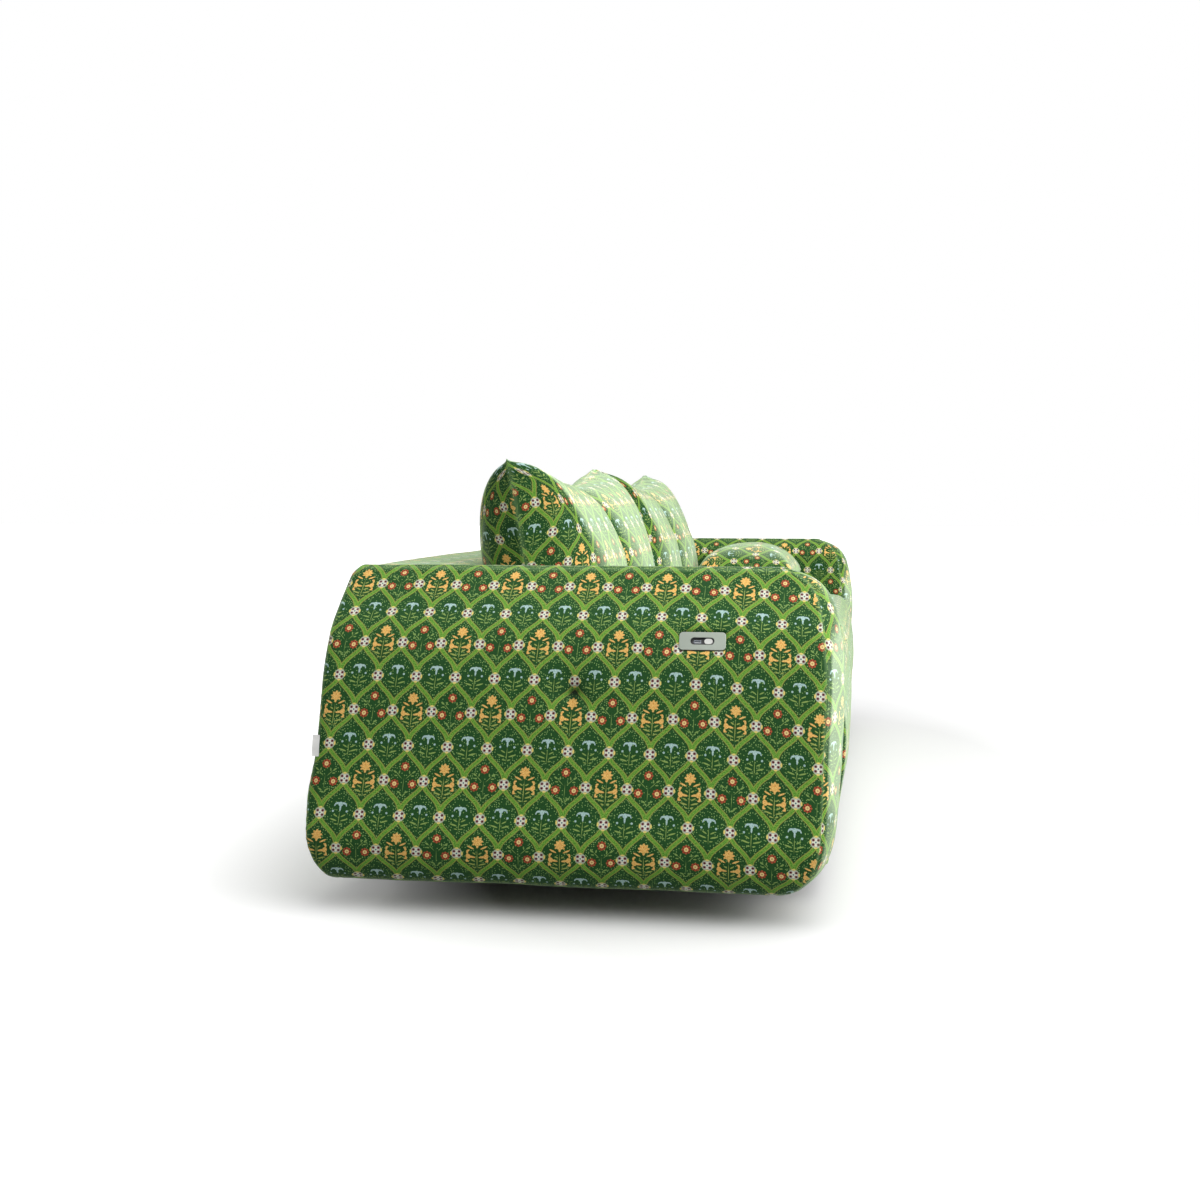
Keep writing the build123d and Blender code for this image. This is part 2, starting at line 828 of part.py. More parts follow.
def slide_members():
    """Outer, middle and inner members of the left seat's two slides."""
    outer, middle, inner = [], [], []
    step = slide_wall + slide_play
    half = slide_height / 2
    for face, towards in ((-inner_half + rail_thickness, 1), (-centre_rail_width / 2, -1)):
        outer.append(channel(0, slide_flange, half, towards, face))
        middle.append(channel(step, slide_flange, half - step, towards, face))
        far = face + towards * slide_width
        inner.append(channel(0, slide_flange - slide_wall, half - 2 * step, -towards, far))
    return outer, middle, inner


# Actuators


def actuator_body():
    """The tube with its bored front, the gearbox, the motor and the rear eye."""
    x = seat_middle
    z = actuator_height
    tube = bar(actuator_radius, (x, actuator_front, z), (x, actuator_rear, z))
    half = gearbox_size / 2
    gearbox = block(
        (x - half, x + half + gearbox_reach),
        (actuator_rear - gearbox_length, actuator_rear - pin_radius),
        (z - half, z + half),
    )
    motor_x = x + motor_offset
    motor_end = actuator_rear - gearbox_length
    motor = bar(motor_radius, (motor_x, motor_end - motor_length, z), (motor_x, motor_end, z))
    eye = bar(eye_radius, (x - eye_width / 2, rear_pin_place, z), (x + eye_width / 2, rear_pin_place, z))
    neck = block(
        (x - eye_width / 2, x + eye_width / 2),
        (actuator_rear - pin_radius, rear_pin_place),
        (z - eye_radius, z + eye_radius),
    )
    body = tube + gearbox + motor + neck + eye
    bore = rod_radius + moving_gap
    body -= bar(bore, (x, actuator_front - overrun, z), (x, rod_tail + overrun, z))
    return body - cross_pin(rear_pin_place, pin_radius + pin_play)


def actuator_rod():
    """The rod with the eye at its front end."""
    x = seat_middle
    z = actuator_height
    rod = bar(rod_radius, (x, -cross_rail_place, z), (x, rod_tail, z))
    half = eye_width / 2
    rod += bar(eye_radius, (x - half, -cross_rail_place, z), (x + half, -cross_rail_place, z))
    return rod - cross_pin(-cross_rail_place, pin_radius + pin_play)


def cross_pin(y, radius):
    """A pin along X through an actuator's eye, or its hole at a larger radius."""
    half = pin_length / 2
    return bar(radius, (seat_middle - half, y, actuator_height), (seat_middle + half, y, actuator_height))


def lugs(y, z):
    """Two plates beside an actuator's eye, with the pin's holes."""
    inner = eye_width / 2 + lug_play
    outer = inner + lug_thickness
    plates = block((seat_middle - outer, seat_middle - inner), y, z)
    return plates + block((seat_middle + inner, seat_middle + outer), y, z)


def front_lugs():
    """The lugs that hang from the seat frame's cross rail."""
    y = (-cross_rail_place - lug_half_depth, -cross_rail_place + lug_half_depth)
    top = slab_underside - webbing_thickness - frame_rail
    outer = eye_width / 2 + lug_play + lug_thickness
    plate = block((seat_middle - outer, seat_middle + outer), y, (top - lug_thickness, top))
    shape = plate + lugs(y, (actuator_height - lug_half_depth, top))
    return shape - cross_pin(-cross_rail_place, pin_radius)


def rear_lugs():
    """The lugs on the plate that stands on the rear rail."""
    face = back_face - rail_thickness
    half = mount_plate_height / 2
    z = (actuator_height - half - lug_half_depth, actuator_height + lug_half_depth)
    outer = eye_width / 2 + lug_play + lug_thickness
    plate = block((seat_middle - outer, seat_middle + outer), (face - lug_thickness, face), z)
    y = (rear_pin_place - lug_half_depth, face)
    shape = plate + lugs(y, (actuator_height - lug_half_depth, actuator_height + lug_half_depth))
    return shape - cross_pin(rear_pin_place, pin_radius)


def control_box():
    """The power electronics on the rear rail, with its round inlet."""
    face = back_face - rail_thickness
    x = (-control_box_place, -control_box_place + control_box_width)
    z = (control_box_bottom, control_box_bottom + control_box_height)
    box = block(x, (face - control_box_depth, face), z)
    box = fillet(box.edges().filter_by(Axis.Z), plate_round)
    middle = (face - control_box_depth / 2, control_box_bottom + control_box_height / 2)
    box += bar(inlet_radius, (x[0] - inlet_length, *middle), (x[0], *middle))
    return box - bar(inlet_bore, (x[0] - inlet_length - overrun, *middle), (x[0], *middle))


# Loose cushions


def cushion_layer(width, height, sag, draw, depth, shares):
    """One layer of a cushion: four sides that bend in near the seam and out near the crown."""
    low_share, high_share, width_share, bend = shares
    half = width_share * width / 2
    low = low_share * height
    high = high_share * height
    middle = (low + high) / 2
    corners = [(-half, low, depth), (-half, high, depth), (half, high, depth), (half, low, depth)]
    return Wire(
        [
            ThreePointArc(corners[0], (-half + bend * draw, middle, depth), corners[1]),
            ThreePointArc(corners[1], (0, high - bend * sag, depth), corners[2]),
            ThreePointArc(corners[2], (half - bend * draw, middle, depth), corners[3]),
            ThreePointArc(corners[3], (0, low + bend * draw / 2, depth), corners[0]),
        ]
    )


def loose_cushion(width, height, sag, draw, front, rear):
    """A crowned cushion with pointed corners: X across, Y up its seam and Z to its front."""
    seam = cushion_layer(width, height, sag, draw, 0, (0, 1, 1, 1))
    layers = [seam]
    for depth, *shares in cushion_layer_shares:
        layers.insert(0, cushion_layer(width, height, sag, draw, -rear * depth, shares))
        layers.append(cushion_layer(width, height, sag, draw, front * depth, shares))
    return Solid.make_loft(layers, ruled=True)


def back_pillow(width, middle):
    """A back pillow: it leans on the bolster, stands on the seat and has one crease."""
    depths = (pillow_front_depth, pillow_rear_depth)
    pillow = loose_cushion(width, pillow_height, pillow_sag, pillow_draw, *depths)
    foot_z = seat_top + cushion_gap
    pillow = Pos(middle, pillow_foot_place, foot_z) * Rot(90 - pillow_lean, 0, 0) * pillow
    reach = (middle - width, middle + width)
    pillow -= block(reach, (-seat_front, seat_rear), (0, foot_z))
    pillow -= block(reach, (bolster_face, 2 * seat_rear), (0, back_top + pillow_height))
    wedge = Rot(0, 0, 45) * Box(crease_width, crease_width, 2 * pillow_height)
    wedge = Rot(-crease_lean, 0, 0) * Pos(0, -crease_width / math.sqrt(2), 0) * wedge
    return pillow - Pos(middle, crease_place, foot_z + crease_height) * wedge


def scatter_cushion():
    """The small cushion that lies flat on the right seat, beside the arm."""
    depths = (scatter_up, scatter_down)
    cushion = loose_cushion(scatter_width, scatter_length, scatter_sag, scatter_draw, *depths)
    cushion = Pos(scatter_place_x, scatter_place_y - scatter_length / 2, scatter_seam_height) * cushion
    floor = seat_top + seat_crown + scatter_lift
    return cushion - block((0, inner_half), (-seat_front, seat_rear), (0, floor))


def sewn_tag():
    """The blank tag, caught in the arm's rear seam and lying on its outer face."""
    plane = face_plane(tag_place, tag_middle_height, tag_height, -tag_lift)
    return plane.location * slab(Rectangle(tag_width, tag_height), 0, tag_thickness)


# Pieces of the arms
outer_arm = arm_body(0)
filled_arm = arm_body(cover_thickness)
pocket = on_arm(control_pocket())
save_pair("arm_cover", outer_arm - filled_arm - pocket - arm_bolts(bolt_radius + bolt_play))
save_pair("arm_foam", filled_arm - arm_envelope() - pocket)
save_pair("arm_frame", arm_frame())

# Pieces of the base
save_both("base_side_rails", side_rail())
save("base_front_rail", cross_rail((-front_rail_face, -front_rail_face + rail_thickness), front_rail_top))
rear_rail = cross_rail((back_face - rail_thickness, back_face), rear_rail_top)
save("base_rear_rail", rear_rail - back_bolts(bolt_radius + bolt_play))
centre_half = centre_rail_width / 2
centre_run = (-front_rail_face + rail_thickness, back_face - rail_thickness)
centre_rail = block((-centre_half, centre_half), centre_run, (base_bottom, side_rail_top))
centre_rail -= [foot_bolt(x, y, foot_bolt_radius) for x, y in foot_places() if x == 0]
save("base_centre_rail", centre_rail)
save("corner_blocks", *(corner_block(x, y) for x, y in foot_places()))
save("feet", *(foot(x, y) for x, y in foot_places()))
save("foot_glides", *(bar(glide_radius, (x, y, 0), (x, y, glide_thickness)) for x, y in foot_places()))
save("foot_bolts", *(foot_bolt(x, y, foot_bolt_radius) for x, y in foot_places()))
save("dust_cloth", dust_cloth())
left_bolts = [shank + head for shank, head in zip(arm_bolts(bolt_radius), arm_bolt_heads())]
right_bolts = [mirror(bolt, about=Plane.YZ) for bolt in left_bolts]
rear_bolts = [shank + head for shank, head in zip(back_bolts(bolt_radius), back_bolt_heads())]
save("frame_bolts", *left_bolts, *right_bolts, *rear_bolts)

# Pieces of the back
filled_back = back_body(cover_thickness)
save("back_cover", back_body(0) - filled_back - back_bolts(bolt_radius + bolt_play))
save("back_foam", filled_back - back_envelope())
save("back_frame", back_frame())

# Pieces of the seats
save_pair("seat_cover", seat_cover())
save_pair("seat_foam", seat_filling((-seat_front, seat_rear), (slab_underside, seat_top + seat_crown)))
apron_front = (-seat_front, -apron_rear - board_thickness)
save_pair("seat_front_pad", seat_filling(apron_front, (apron_bottom, slab_underside)))
save_pair("seat_front_board", front_board())
save_pair("seat_side_boards", *side_boards())
save_pair("seat_frame", seat_frame())
save_pair("seat_webbing", *seat_webbing())

# Slides and actuators
outer_members, middle_members, inner_members = slide_members()
save_both("slide_outer_members", *outer_members)
save_pair("slide_middle", *middle_members)
save_pair("slide_inner", *inner_members)
save_pair("actuator_body", actuator_body())
save_pair("actuator_rod", actuator_rod())
save_pair("actuator_front_mount", front_lugs(), cross_pin(-cross_rail_place, pin_radius))
save_both("actuator_rear_mounts", rear_lugs(), cross_pin(rear_pin_place, pin_radius))
save("control_box", control_box())

# Controls, tag and loose cushions
save_pair("control_plate", on_arm(control_plate()))
save_pair("rocker", on_arm(rocker()))
save_both("control_housings", on_arm(control_housing()))
save_both("rocker_pins", on_arm(rocker_pin()))
save_both("switch_boards", on_arm(switch_board()))
save_both("charging_sockets", on_arm(charging_socket()))
save_both("socket_tongues", on_arm(socket_tongue()))
save("sewn_tag", sewn_tag())
left_pillow_middle = -inner_half + pillow_arm_gap + pillow_left_width / 2
right_pillow_start = -inner_half + pillow_arm_gap + pillow_left_width + pillow_between_gap
save("back_pillow_left", back_pillow(pillow_left_width, left_pillow_middle))
save("back_pillow_right", back_pillow(pillow_right_width, right_pillow_start + pillow_right_width / 2))
save("scatter_cushion", scatter_cushion())
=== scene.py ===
import bpy
import json
import math
import numpy as np
from mathutils import Matrix, Vector, noise


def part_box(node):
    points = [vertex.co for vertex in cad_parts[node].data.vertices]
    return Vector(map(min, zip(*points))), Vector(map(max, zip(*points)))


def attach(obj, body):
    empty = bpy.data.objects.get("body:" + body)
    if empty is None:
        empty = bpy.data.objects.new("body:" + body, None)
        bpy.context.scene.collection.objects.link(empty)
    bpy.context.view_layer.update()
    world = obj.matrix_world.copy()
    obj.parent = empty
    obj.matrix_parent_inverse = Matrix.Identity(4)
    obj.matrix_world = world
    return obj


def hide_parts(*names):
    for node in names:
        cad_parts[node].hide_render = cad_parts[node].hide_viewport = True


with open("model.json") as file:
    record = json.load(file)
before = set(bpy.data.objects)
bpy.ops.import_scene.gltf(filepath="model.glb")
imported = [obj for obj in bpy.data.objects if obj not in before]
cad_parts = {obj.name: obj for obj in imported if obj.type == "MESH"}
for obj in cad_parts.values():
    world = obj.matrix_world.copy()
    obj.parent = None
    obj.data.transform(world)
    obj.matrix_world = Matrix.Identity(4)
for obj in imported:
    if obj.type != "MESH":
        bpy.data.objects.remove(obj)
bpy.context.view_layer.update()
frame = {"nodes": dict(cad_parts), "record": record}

# Shared places of the sofa, in metres
INNER = 0.982  # X of the arms' inner faces
HALF = 1.202  # half of the length
SEAT_TOP = 0.4403  # height of the seats' flat rear part
BOLSTER = 0.25  # Y of the back's upper front
SEAT_MIDDLE, SEAT_HALF = 0.4905, 0.4875  # X of a seat's middle, and half its width


# Curves and grids


def through(knots, values, at):
    """A smooth curve without overshoot through values at rising knots."""
    knots, values, at = (np.asarray(x, float) for x in (knots, values, at))
    step = np.diff(knots)
    rise = np.diff(values) / step
    slope = np.zeros(len(values))
    slope[0], slope[-1] = rise[0], rise[-1]
    for i in range(1, len(values) - 1):
        if rise[i - 1] * rise[i] > 0:
            a, b = 2 * step[i] + step[i - 1], step[i] + 2 * step[i - 1]
            slope[i] = (a + b) / (a / rise[i - 1] + b / rise[i])
    i = np.clip(np.searchsorted(knots, at, "right") - 1, 0, len(step) - 1)
    h = step[i]
    t = (at - knots[i]) / h
    start = (1 + 2 * t) * (1 - t) ** 2 * values[i] + t * (1 - t) ** 2 * h * slope[i]
    return start + t * t * (3 - 2 * t) * values[i + 1] + t * t * (t - 1) * h * slope[i + 1]


def lengths(points):
    """Running length along points."""
    steps = np.linalg.norm(np.diff(points, axis=0), axis=1)
    return np.concatenate([[0], np.cumsum(steps)])


def grid_lengths(points, axis):
    """Running length along the columns (0) or the rows (1) of a grid of points."""
    steps = np.linalg.norm(np.diff(points, axis=axis), axis=2)
    return np.cumsum(np.insert(steps, 0, 0.0, axis), axis)


def ripple(points, size, height, seed):
    """Soft three-dimensional unevenness at each point."""
    shift = Vector((seed * 3.1, seed * 1.7, seed * 2.3))
    values = [noise.noise(Vector(p) / size + shift) for p in points.reshape(-1, 3)]
    return height * np.array(values).reshape(points.shape[:-1])


def grid_normals(points, wrap):
    """Unit normals of a grid of points, rows first."""
    across = np.gradient(points, axis=1)
    if wrap:
        across = (np.roll(points, -1, 1) - np.roll(points, 1, 1)) / 2
    n = np.cross(across, np.gradient(points, axis=0))
    return n / np.maximum(np.linalg.norm(n, axis=-1, keepdims=True), 1e-9)


def waves(at, pitch, amount=0.6, sway=0.0, slow=0.0):
    """A factor around 1 that comes and goes along a seam, as puckers do."""
    return 1 + amount * np.sin(at * 2 * math.pi / pitch + sway * np.sin(at * slow))


def sew(lift, column, ridge, depths, puckers):
    """Raises one column of a grid as a seam, and draws its neighbours in."""
    lift[:, column] += ridge
    for step, depth in enumerate(depths, 1):
        for at in (column - step, (column + step) % lift.shape[1]):
            lift[:, at] += depth * puckers[:, at]


def make_piece(name, verts, faces, uvs=None, **facts):
    """A mesh object; uvs has a pair for each face corner, each fact a value for each of the first points."""
    mesh = bpy.data.meshes.new(name)
    mesh.from_pydata(list(map(tuple, verts)), [], faces)
    if uvs is not None:
        mesh.uv_layers.new(name="cloth").data.foreach_set("uv", np.array(uvs, np.float32).reshape(-1))
        mesh.polygons.foreach_set("use_smooth", np.ones(len(faces), bool))
    for fact, given in facts.items():
        values = np.zeros(len(verts), np.float32)
        values[: given.size] = given.reshape(-1)
        mesh.attributes.new(fact, "FLOAT", "POINT").data.foreach_set("value", values)
    mesh.update()
    piece = bpy.data.objects.new(name, mesh)
    bpy.context.scene.collection.objects.link(piece)
    return piece


def grid_piece(name, points, panel_of, panels, wrap=False, caps=(), cap_axes=(0, 1), close=False, **facts):
    """A piece from a grid of points. Each column is on one panel, which has a place in the cloth for each point.

    The caps, of rows 0 and -1, have points of their own; close shuts the last row with one face on its own points.
    """
    rows, cols = points.shape[:2]
    verts = list(points.reshape(-1, 3))
    faces, uvs = [], []
    for r in range(rows - 1):
        for c in range(cols if wrap else cols - 1):
            d = (c + 1) % cols
            p = panels[panel_of[c]]
            faces.append((r * cols + c, r * cols + d, (r + 1) * cols + d, (r + 1) * cols + c))
            uvs += [p[r, c], p[r, c + 1], p[r + 1, c + 1], p[r + 1, c]]
    for row in caps:
        order = list(range(cols))[:: 1 if row else -1]
        faces.append(tuple(len(verts) + i for i in order))
        verts += list(points[row])
        uvs += list(points[row][order][:, list(cap_axes)])
    if close:
        faces.append(tuple((rows - 1) * cols + c for c in range(cols)))
        uvs += [panels[panel_of[c]][rows - 1, c] for c in range(cols)]
    return make_piece(name, verts, faces, uvs, **facts)


def put(piece, body, slot, node, fill=None):
    """Gives a piece its finish and its body, and hides the CAD node that it stands for."""
    piece.data.materials.append(looks[slot])
    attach(piece, body)
    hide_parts(node)


def mirror_piece(piece):
    """Turns a left piece into a right one."""
    piece.data.transform(Matrix.Scale(-1, 4, (1, 0, 0)))
    piece.data.flip_normals()
    piece.data.update()


# Materials: small expressions that become shader nodes


def linear(r, g, b):
    """A colour typed as it looks on a screen, as the shader needs it."""
    values = [c / 255 for c in (r, g, b)]
    return tuple(c / 12.92 if c <= 0.04045 else ((c + 0.055) / 1.055) ** 2.4 for c in values) + (1.0,)


def dimmed(colour, share):
    """A colour at a share of its strength."""
    return tuple(c * share for c in colour[:3]) + (1.0,)


class Ink:
    """Builds nodes in a world or a new material; a value is a socket, a number or a colour."""

    def __init__(self, owner):
        self.owner = bpy.data.materials.new(owner) if isinstance(owner, str) else owner
        self.owner.use_nodes = True
        self.tree = self.owner.node_tree
        self.count = 0

    def node(self, kind, values=(), **facts):
        """A node; values go to its inputs in order, or by number or name if they are a dictionary."""
        n = self.tree.nodes.new("ShaderNode" + kind)
        n.location = (-220 * (1 + self.count // 12), 180 * (self.count % 12))
        self.count += 1
        for key, value in facts.items():
            setattr(n, key, value)
        for key, value in values.items() if isinstance(values, dict) else enumerate(values):
            self.feed(n.inputs[key], value)
        return n

    def feed(self, socket, value):
        if isinstance(value, bpy.types.NodeSocket):
            self.tree.links.new(value, socket)
        else:
            socket.default_value = value

    def math(self, operation, *values, clamp=False):
        return self.node("Math", values, operation=operation, use_clamp=clamp).outputs[0]

    def vectors(self, operation, *values):
        n = self.node("VectorMath", values, operation=operation)
        return n.outputs["Value" if operation == "LENGTH" else "Vector"]

    def add(self, a, b):
        return self.math("ADD", a, b)

    def sub(self, a, b):
        return self.math("SUBTRACT", a, b)

    def mul(self, a, b):
        return self.math("MULTIPLY", a, b)

    def size(self, a):
        return self.math("ABSOLUTE", a)

    def less(self, a, b):
        return self.math("LESS_THAN", a, b)

    def more(self, a, b):
        return self.math("GREATER_THAN", a, b)

    def most(self, result, *others):
        for value in others:
            result = self.math("MAXIMUM", result, value)
        return result

    def ramp(self, value, low, high, start=0.0, end=1.0):
        return self.node("MapRange", (value, low, high, start, end)).outputs[0]

    def mix(self, factor, a, b, **facts):
        return self.node("Mix", {0: factor, 6: a, 7: b}, data_type="RGBA", **facts).outputs[2]

    def join(self, x, y):
        return self.node("CombineXYZ", (x, y, 0.0)).outputs[0]

    def split(self, value):
        return self.node("SeparateXYZ", (value,)).outputs

    def fact(self, name):
        return self.node("Attribute", attribute_name=name).outputs["Fac"]

    def place(self):
        return self.node("TexCoord").outputs["Object"]

    def stretched(self, at, scale):
        return self.node("Mapping", {0: at, 3: scale}).outputs[0]

    def blobs(self, at, *ellipses):
        """1 inside any of some ellipses, given as x, y, half-widths, turn and softness in millimetres."""
        return self.most(*(self.blob(at, *ellipse) for ellipse in ellipses))

    def blob(self, at, x, y, rx, ry, turn=0.0, soft=0.35):
        where = (at, (x, y, 0), (0, 0, math.radians(turn)), (rx, ry, 1))
        inside = self.node("Mapping", where, vector_type="TEXTURE").outputs[0]
        sharp = min(rx, ry) / soft
        return self.math("MULTIPLY_ADD", self.vectors("LENGTH", inside), -sharp, sharp, clamp=True)

    def noise(self, at, scale, detail=2.0, rough=0.5):
        values = {"Vector": at, "Scale": scale, "Detail": detail, "Roughness": rough}
        return self.node("TexNoise", values).outputs[0]

    def bump(self, height, strength, distance, under=None):
        values = {"Strength": strength, "Distance": distance, "Height": height}
        if under is not None:
            values["Normal"] = under
        return self.node("Bump", values).outputs[0]

    def finish(self, colour, rough, normal=None, **facts):
        """Feeds the shader, with a _ for each space in a socket's name, and gives the material."""
        shader = self.tree.nodes["Principled BSDF"]
        for key, value in {"Base_Color": colour, "Roughness": rough, "Normal": normal, **facts}.items():
            if value is not None:
                self.feed(shader.inputs[key.replace("_", " ")], value)
        return self.owner


def trellis_velvet(name):
    """Printed velvet: an ogee trellis with rosettes and three kinds of flower sprig. Lengths in millimetres."""
    ink = Ink(name)
    s, h = 74.0, 62.2  # a cell's width, and the height from one row of crossings to the next
    uv = ink.node("UVMap", uv_map="cloth").outputs[0]
    place = ink.node("VectorMath", {0: uv, "Scale": 1000.0}, operation="SCALE").outputs[0]
    u, v = ink.split(place)[:2]

    def wrap(value, half):
        return ink.math("WRAP", value, half, -half)

    xa, ya = wrap(ink.sub(u, s / 2), s / 2), wrap(v, h)
    xb, yb = wrap(u, s / 2), wrap(ink.sub(v, h), h)
    # which cell: A is centred on even rows, B on odd ones, with an upright neck over each crossing
    down = ink.sub(1.0, ink.math("FRACT", ink.math("DIVIDE", ya, h)))
    swell = ink.mul(ink.math("SINE", ink.mul(down, math.pi)), 0.16)
    late = ink.math("MULTIPLY_ADD", swell, down, down)
    reach = ink.math("MULTIPLY_ADD", ink.math("COSINE", ink.mul(late, math.pi)), -0.5, 0.5)
    width = ink.mul(ink.size(ink.sub(ink.less(ya, 0.0), reach)), s / 2)
    inward = ink.sub(width, ink.size(xa))
    in_a = ink.more(inward, 0.0)
    steep = ink.mul(ink.math("SINE", ink.mul(late, math.pi)), s / 4 * math.pi / h)
    slant = ink.math("SQRT", ink.math("MULTIPLY_ADD", steep, steep, 1.0))
    from_band = ink.math("DIVIDE", ink.size(inward), slant)
    # gold and red cells alternate along a row and from one even row to the next
    column = ink.math("FLOOR", ink.math("DIVIDE", u, s))
    row = ink.math("FLOOR", ink.math("DIVIDE", ink.add(v, h), 2 * h))
    turn = ink.math("PINGPONG", ink.add(column, row), 1.0)
    is_gold = ink.mul(in_a, ink.less(turn, 0.5))
    is_red = ink.mul(in_a, ink.more(turn, 0.5))
    is_blue = ink.sub(1.0, in_a)
    fold_a, fold_b = ink.join(ink.size(xa), ya), ink.join(ink.size(xb), yb)
    fine = ink.noise(place, 0.55, 2.0)

    def mottled(low, high, dark, light):
        """Two tones that follow the fine noise."""
        return ink.mix(ink.ramp(fine, low, high), linear(*dark), linear(*light))

    # dark ground with a light speckle
    ground = mottled(0.3, 0.7, (12, 50, 16), (36, 88, 34))
    ground = ink.mix(ink.ramp(ink.noise(place, 0.02, 1.0), 0.35, 0.65, 0.0, 0.6), ground, linear(24, 68, 26))
    dots = ink.node("TexVoronoi", {"Vector": place, "Scale": 0.24}, voronoi_dimensions="2D").outputs
    chosen = ink.node("SeparateColor", (dots["Color"],)).outputs[0]
    near = ink.ramp(from_band, 7.0, 22.0, 0.80, 0.28)
    speck = ink.mul(ink.ramp(dots["Distance"], 0.16, 0.26, 1.0, 0.0), ink.less(chosen, near))
    colour = ink.mix(ink.mul(speck, 0.85), ground, linear(146, 184, 106))
    # blue trumpet flower, its buds, stem and leaves, in B cells
    leaf_blue = ink.blobs(
        fold_b, (0.0, -10.0, 0.8, 16.0, 0, 0.5), (7.2, -4.2, 5.2, 1.3, 28), (10.2, -11.6, 7.6, 1.5, 16),
        (5.0, -19.0, 3.6, 1.1, 10),
    )
    colour = ink.mix(ink.mul(is_blue, leaf_blue), colour, linear(136, 162, 84))
    blue = ink.blobs(
        fold_b, (0.0, 16.2, 4.4, 4.4), (6.6, 17.6, 4.6, 2.0, -14), (10.6, 14.4, 1.3, 2.7, 20),
        (0.0, 9.6, 1.8, 6.6), (12.9, 3.7, 2.1, 2.1),
    )
    colour = ink.mix(ink.mul(is_blue, blue), colour, mottled(0.35, 0.6, (132, 170, 172), (186, 212, 206)))
    # red plant: three round flowers, slanted stems and leaves
    leaf_red = ink.blobs(
        fold_a, (9.0, 8.4, 9.4, 0.8, 44, 0.5), (17.4, 15.4, 3.9, 1.7, 34), (9.4, 15.0, 1.3, 3.4, 10),
        (15.6, 8.6, 3.4, 1.3, 6), (6.6, -20.6, 4.4, 1.4, 24), (3.0, -25.0, 3.4, 1.2, 40),
        (0.0, -8.0, 0.7, 16.0, 0, 0.5),
    )
    colour = ink.mix(ink.mul(is_red, leaf_red), colour, linear(128, 158, 84))

    def round_flower(x, y):
        """Mask of the petals, of the dark notches in them, of the middle and of its centre."""
        shift = ink.vectors("SUBTRACT", fold_a, (x, y, 0))
        part = ink.split(shift)
        far = ink.vectors("LENGTH", shift)
        lobes = ink.math("COSINE", ink.mul(ink.math("ARCTAN2", part[1], part[0]), 8.0))
        edge = ink.math("MULTIPLY_ADD", lobes, 0.6, 7.9)
        petals = ink.math("MULTIPLY", ink.sub(edge, far), 2.5, clamp=True)
        notch = ink.mul(ink.mul(ink.less(lobes, -0.25), ink.more(far, 4.2)), ink.less(far, 7.0))
        middle = ink.math("MULTIPLY", ink.sub(4.0, far), 2.5, clamp=True)
        return petals, notch, middle, ink.mul(ink.less(far, 1.5), ink.more(far, 0.7))

    flowers = zip(round_flower(0.0, 25.2), round_flower(16.6, -6.0))
    petals, notch, middle, centre = (ink.most(*masks) for masks in flowers)
    flower = mottled(0.4, 0.62, (150, 58, 34), (198, 98, 64))
    flower = ink.mix(ink.mul(notch, 0.75), flower, linear(66, 26, 18))
    flower = ink.mix(middle, flower, linear(232, 208, 140))
    flower = ink.mix(centre, flower, linear(150, 96, 50))
    colour = ink.mix(ink.mul(is_red, petals), colour, flower)
    # gold plant: a star flower, slanted petals, two trumpets, stem and leaves
    leaf_gold = ink.blobs(
        fold_a, (0.0, -11.0, 0.9, 22.0, 0, 0.5), (5.4, 1.0, 3.8, 1.3, 30), (7.4, -13.0, 5.0, 1.4, 28),
        (9.6, -20.6, 7.4, 1.5, 16), (5.0, -27.6, 3.6, 1.2, 20),
    )
    colour = ink.mix(ink.mul(is_gold, leaf_gold), colour, linear(156, 166, 84))
    gold = ink.blobs(
        fold_a, (0.0, 22.6, 7.4, 7.8), (0.0, 29.6, 2.4, 3.4), (5.2, 28.2, 2.0, 2.6, -30),
        (7.8, 23.4, 2.6, 2.0, 8), (6.6, 18.2, 2.8, 1.9, -32), (0.0, 14.2, 2.2, 3.4),
        (12.0, 12.2, 7.4, 1.7, 25), (10.6, -5.6, 8.4, 2.2, 10), (16.0, -4.6, 4.4, 5.4, -22),
        (17.6, 4.2, 2.0, 4.2, 6), (15.8, 6.6, 2.4, 1.7), (18.6, -12.6, 2.0, 4.0, 8), (16.8, -14.6, 2.6, 1.7),
    )
    colour = ink.mix(ink.mul(is_gold, gold), colour, mottled(0.38, 0.62, (212, 154, 70), (244, 204, 122)))
    eye = ink.blobs(fold_a, (5.8, 20.0, 1.4, 1.0, 30), (0.0, 26.0, 1.1, 1.9))
    colour = ink.mix(ink.mul(is_gold, ink.mul(eye, 0.6)), colour, linear(204, 112, 40))
    # bands of the trellis
    band = mottled(0.4, 0.62, (62, 124, 34), (128, 176, 68))
    band = ink.mix(ink.ramp(from_band, 2.2, 3.2), band, linear(140, 162, 68))
    band = ink.mix(ink.ramp(from_band, 3.7, 4.1), band, linear(134, 112, 56))
    colour = ink.mix(ink.ramp(from_band, 4.3, 4.7, 1.0, 0.0), colour, band)
